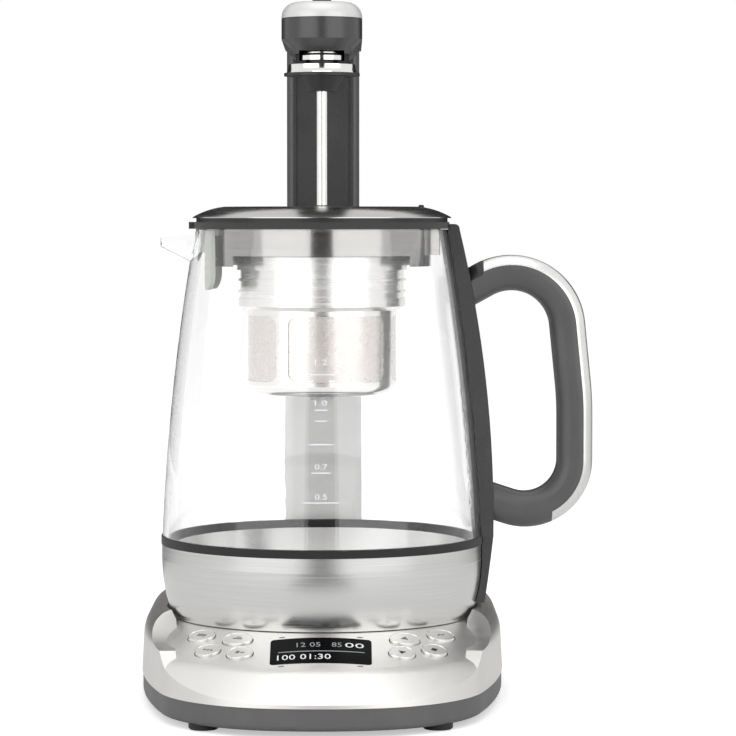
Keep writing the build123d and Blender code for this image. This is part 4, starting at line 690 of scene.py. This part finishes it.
world = bpy.data.worlds.new("white_room")
bpy.context.scene.world = world
world.use_nodes = True
world.node_tree.nodes.clear()
room_rays = background_rays(world.node_tree, "Is Glossy Ray", "Is Transmission Ray")
room_level = add(world.node_tree, "ShaderNodeMapRange", {0: room_rays, 3: ambient_level, 4: 1.0})
room = add(world.node_tree, "ShaderNodeBackground", {"Color": room_white, "Strength": room_level.outputs[0]})
add(world.node_tree, "ShaderNodeOutputWorld", {"Surface": room.outputs[0]})

floor_paint, floor_tree = start("white_floor")
floor_shade = add(floor_tree, "ShaderNodeBsdfDiffuse", {"Color": linear("#f7f7f7")})
floor_rays = background_rays(floor_tree, "Is Transmission Ray")
floor_glow = add(floor_tree, "ShaderNodeMath", {0: floor_rays, 1: floor_glow_level}, operation="MULTIPLY")
floor_light = add(floor_tree, "ShaderNodeEmission", {"Color": room_white, "Strength": floor_glow.outputs[0]})
floor_both = add(floor_tree, "ShaderNodeAddShader", {0: floor_shade.outputs[0], 1: floor_light.outputs[0]})
add(floor_tree, "ShaderNodeOutputMaterial", {"Surface": floor_both.outputs[0]})
floor_form = bmesh.new()
bmesh.ops.create_grid(floor_form, x_segments=1, y_segments=1, size=floor_half_width,
                      matrix=Matrix.Translation((0, 0, floor_level)))
floor = set_down("floor", floor_form, floor_paint)


def dark_card(name, place, aim, width, height, shade, through_glass=False):
    """A card that faces a point and glows in its own shade, a painted reflection: the camera, matt surfaces
    and shadows pass it by, while metal and gloss see it as a dark gap between the lamps, and what stands
    behind glass does too where that is asked."""
    centre = Vector(place)
    turn = (Vector(aim) - centre).to_track_quat("Z", "Y").to_matrix().to_4x4()
    form = bmesh.new()
    bmesh.ops.create_grid(form, x_segments=1, y_segments=1, size=0.5,
                          matrix=Matrix.Diagonal((width, height, 1, 1)))
    bmesh.ops.transform(form, matrix=Matrix.Translation(centre) @ turn, verts=form.verts)
    painted_reflection, tree = start(name + "_felt")
    glow = add(tree, "ShaderNodeEmission", {"Color": linear(shade), "Strength": 1.0})
    add(tree, "ShaderNodeOutputMaterial", {"Surface": glow.outputs[0]})
    card = set_down(name, form, painted_reflection)
    card.visible_camera = False
    card.visible_diffuse = False
    card.visible_shadow = False
    card.visible_transmission = through_glass


def softbox(name, place, width, height, power):
    """A large soft lamp that faces the tea maker."""
    lamp = bpy.data.lights.new(name, "AREA")
    lamp.shape = "RECTANGLE"
    lamp.size = width
    lamp.size_y = height
    lamp.energy = power
    holder = bpy.data.objects.new(name, lamp)
    holder.location = place
    holder.rotation_euler = (Vector(middle_of_object) - Vector(place)).to_track_quat("-Z", "Y").to_euler()
    bpy.context.scene.collection.objects.link(holder)


lamp_x, lamp_y, lamp_z = front_lamp_place
softbox("softbox_left", (-lamp_x, lamp_y, lamp_z), 2.0, 1.5, front_lamp_power)
softbox("softbox_right", (lamp_x, lamp_y, lamp_z), 2.0, 1.5, front_lamp_power)
softbox("softbox_top", top_lamp_place, 1.2, 1.2, top_lamp_power)
# Painted reflections: cards that glow dark and mid grey and are seen only by metal, by gloss and, for the
# front one, through glass. Two stand upright in front and behind as gaps between the lamps, and two lie on
# the table and darken its reflection.
dark_card("gap_front", (0, -2.4, 0.5), (0, 0, 0.5), 0.8, 2.4, "#161616", through_glass=True)
dark_card("gap_rear", (0, 2.2, 0.83), (0, 0, 0.83), 5.2, 1.66, "#262626")
dark_card("gap_table_rear", (0, 1.15, card_lift), (0, 1.15, 1), 3.0, 1.5, "#9a9a9a")
dark_card("gap_table_front", (0, -1.3, card_lift), (0, -1.3, 1), 0.2, 2.1, "#8c8c8c")

lens = bpy.data.cameras.new("camera")
lens.sensor_width = 36.0
lens.lens = camera_lens
lens.clip_start = 0.05
camera = bpy.data.objects.new("camera", lens)
camera.location = camera_place
camera.rotation_euler = (radians(90 - camera_pitch), 0, radians(-camera_turn))
bpy.context.scene.collection.objects.link(camera)
bpy.context.scene.camera = camera
bpy.context.scene.view_settings.view_transform = "Standard"
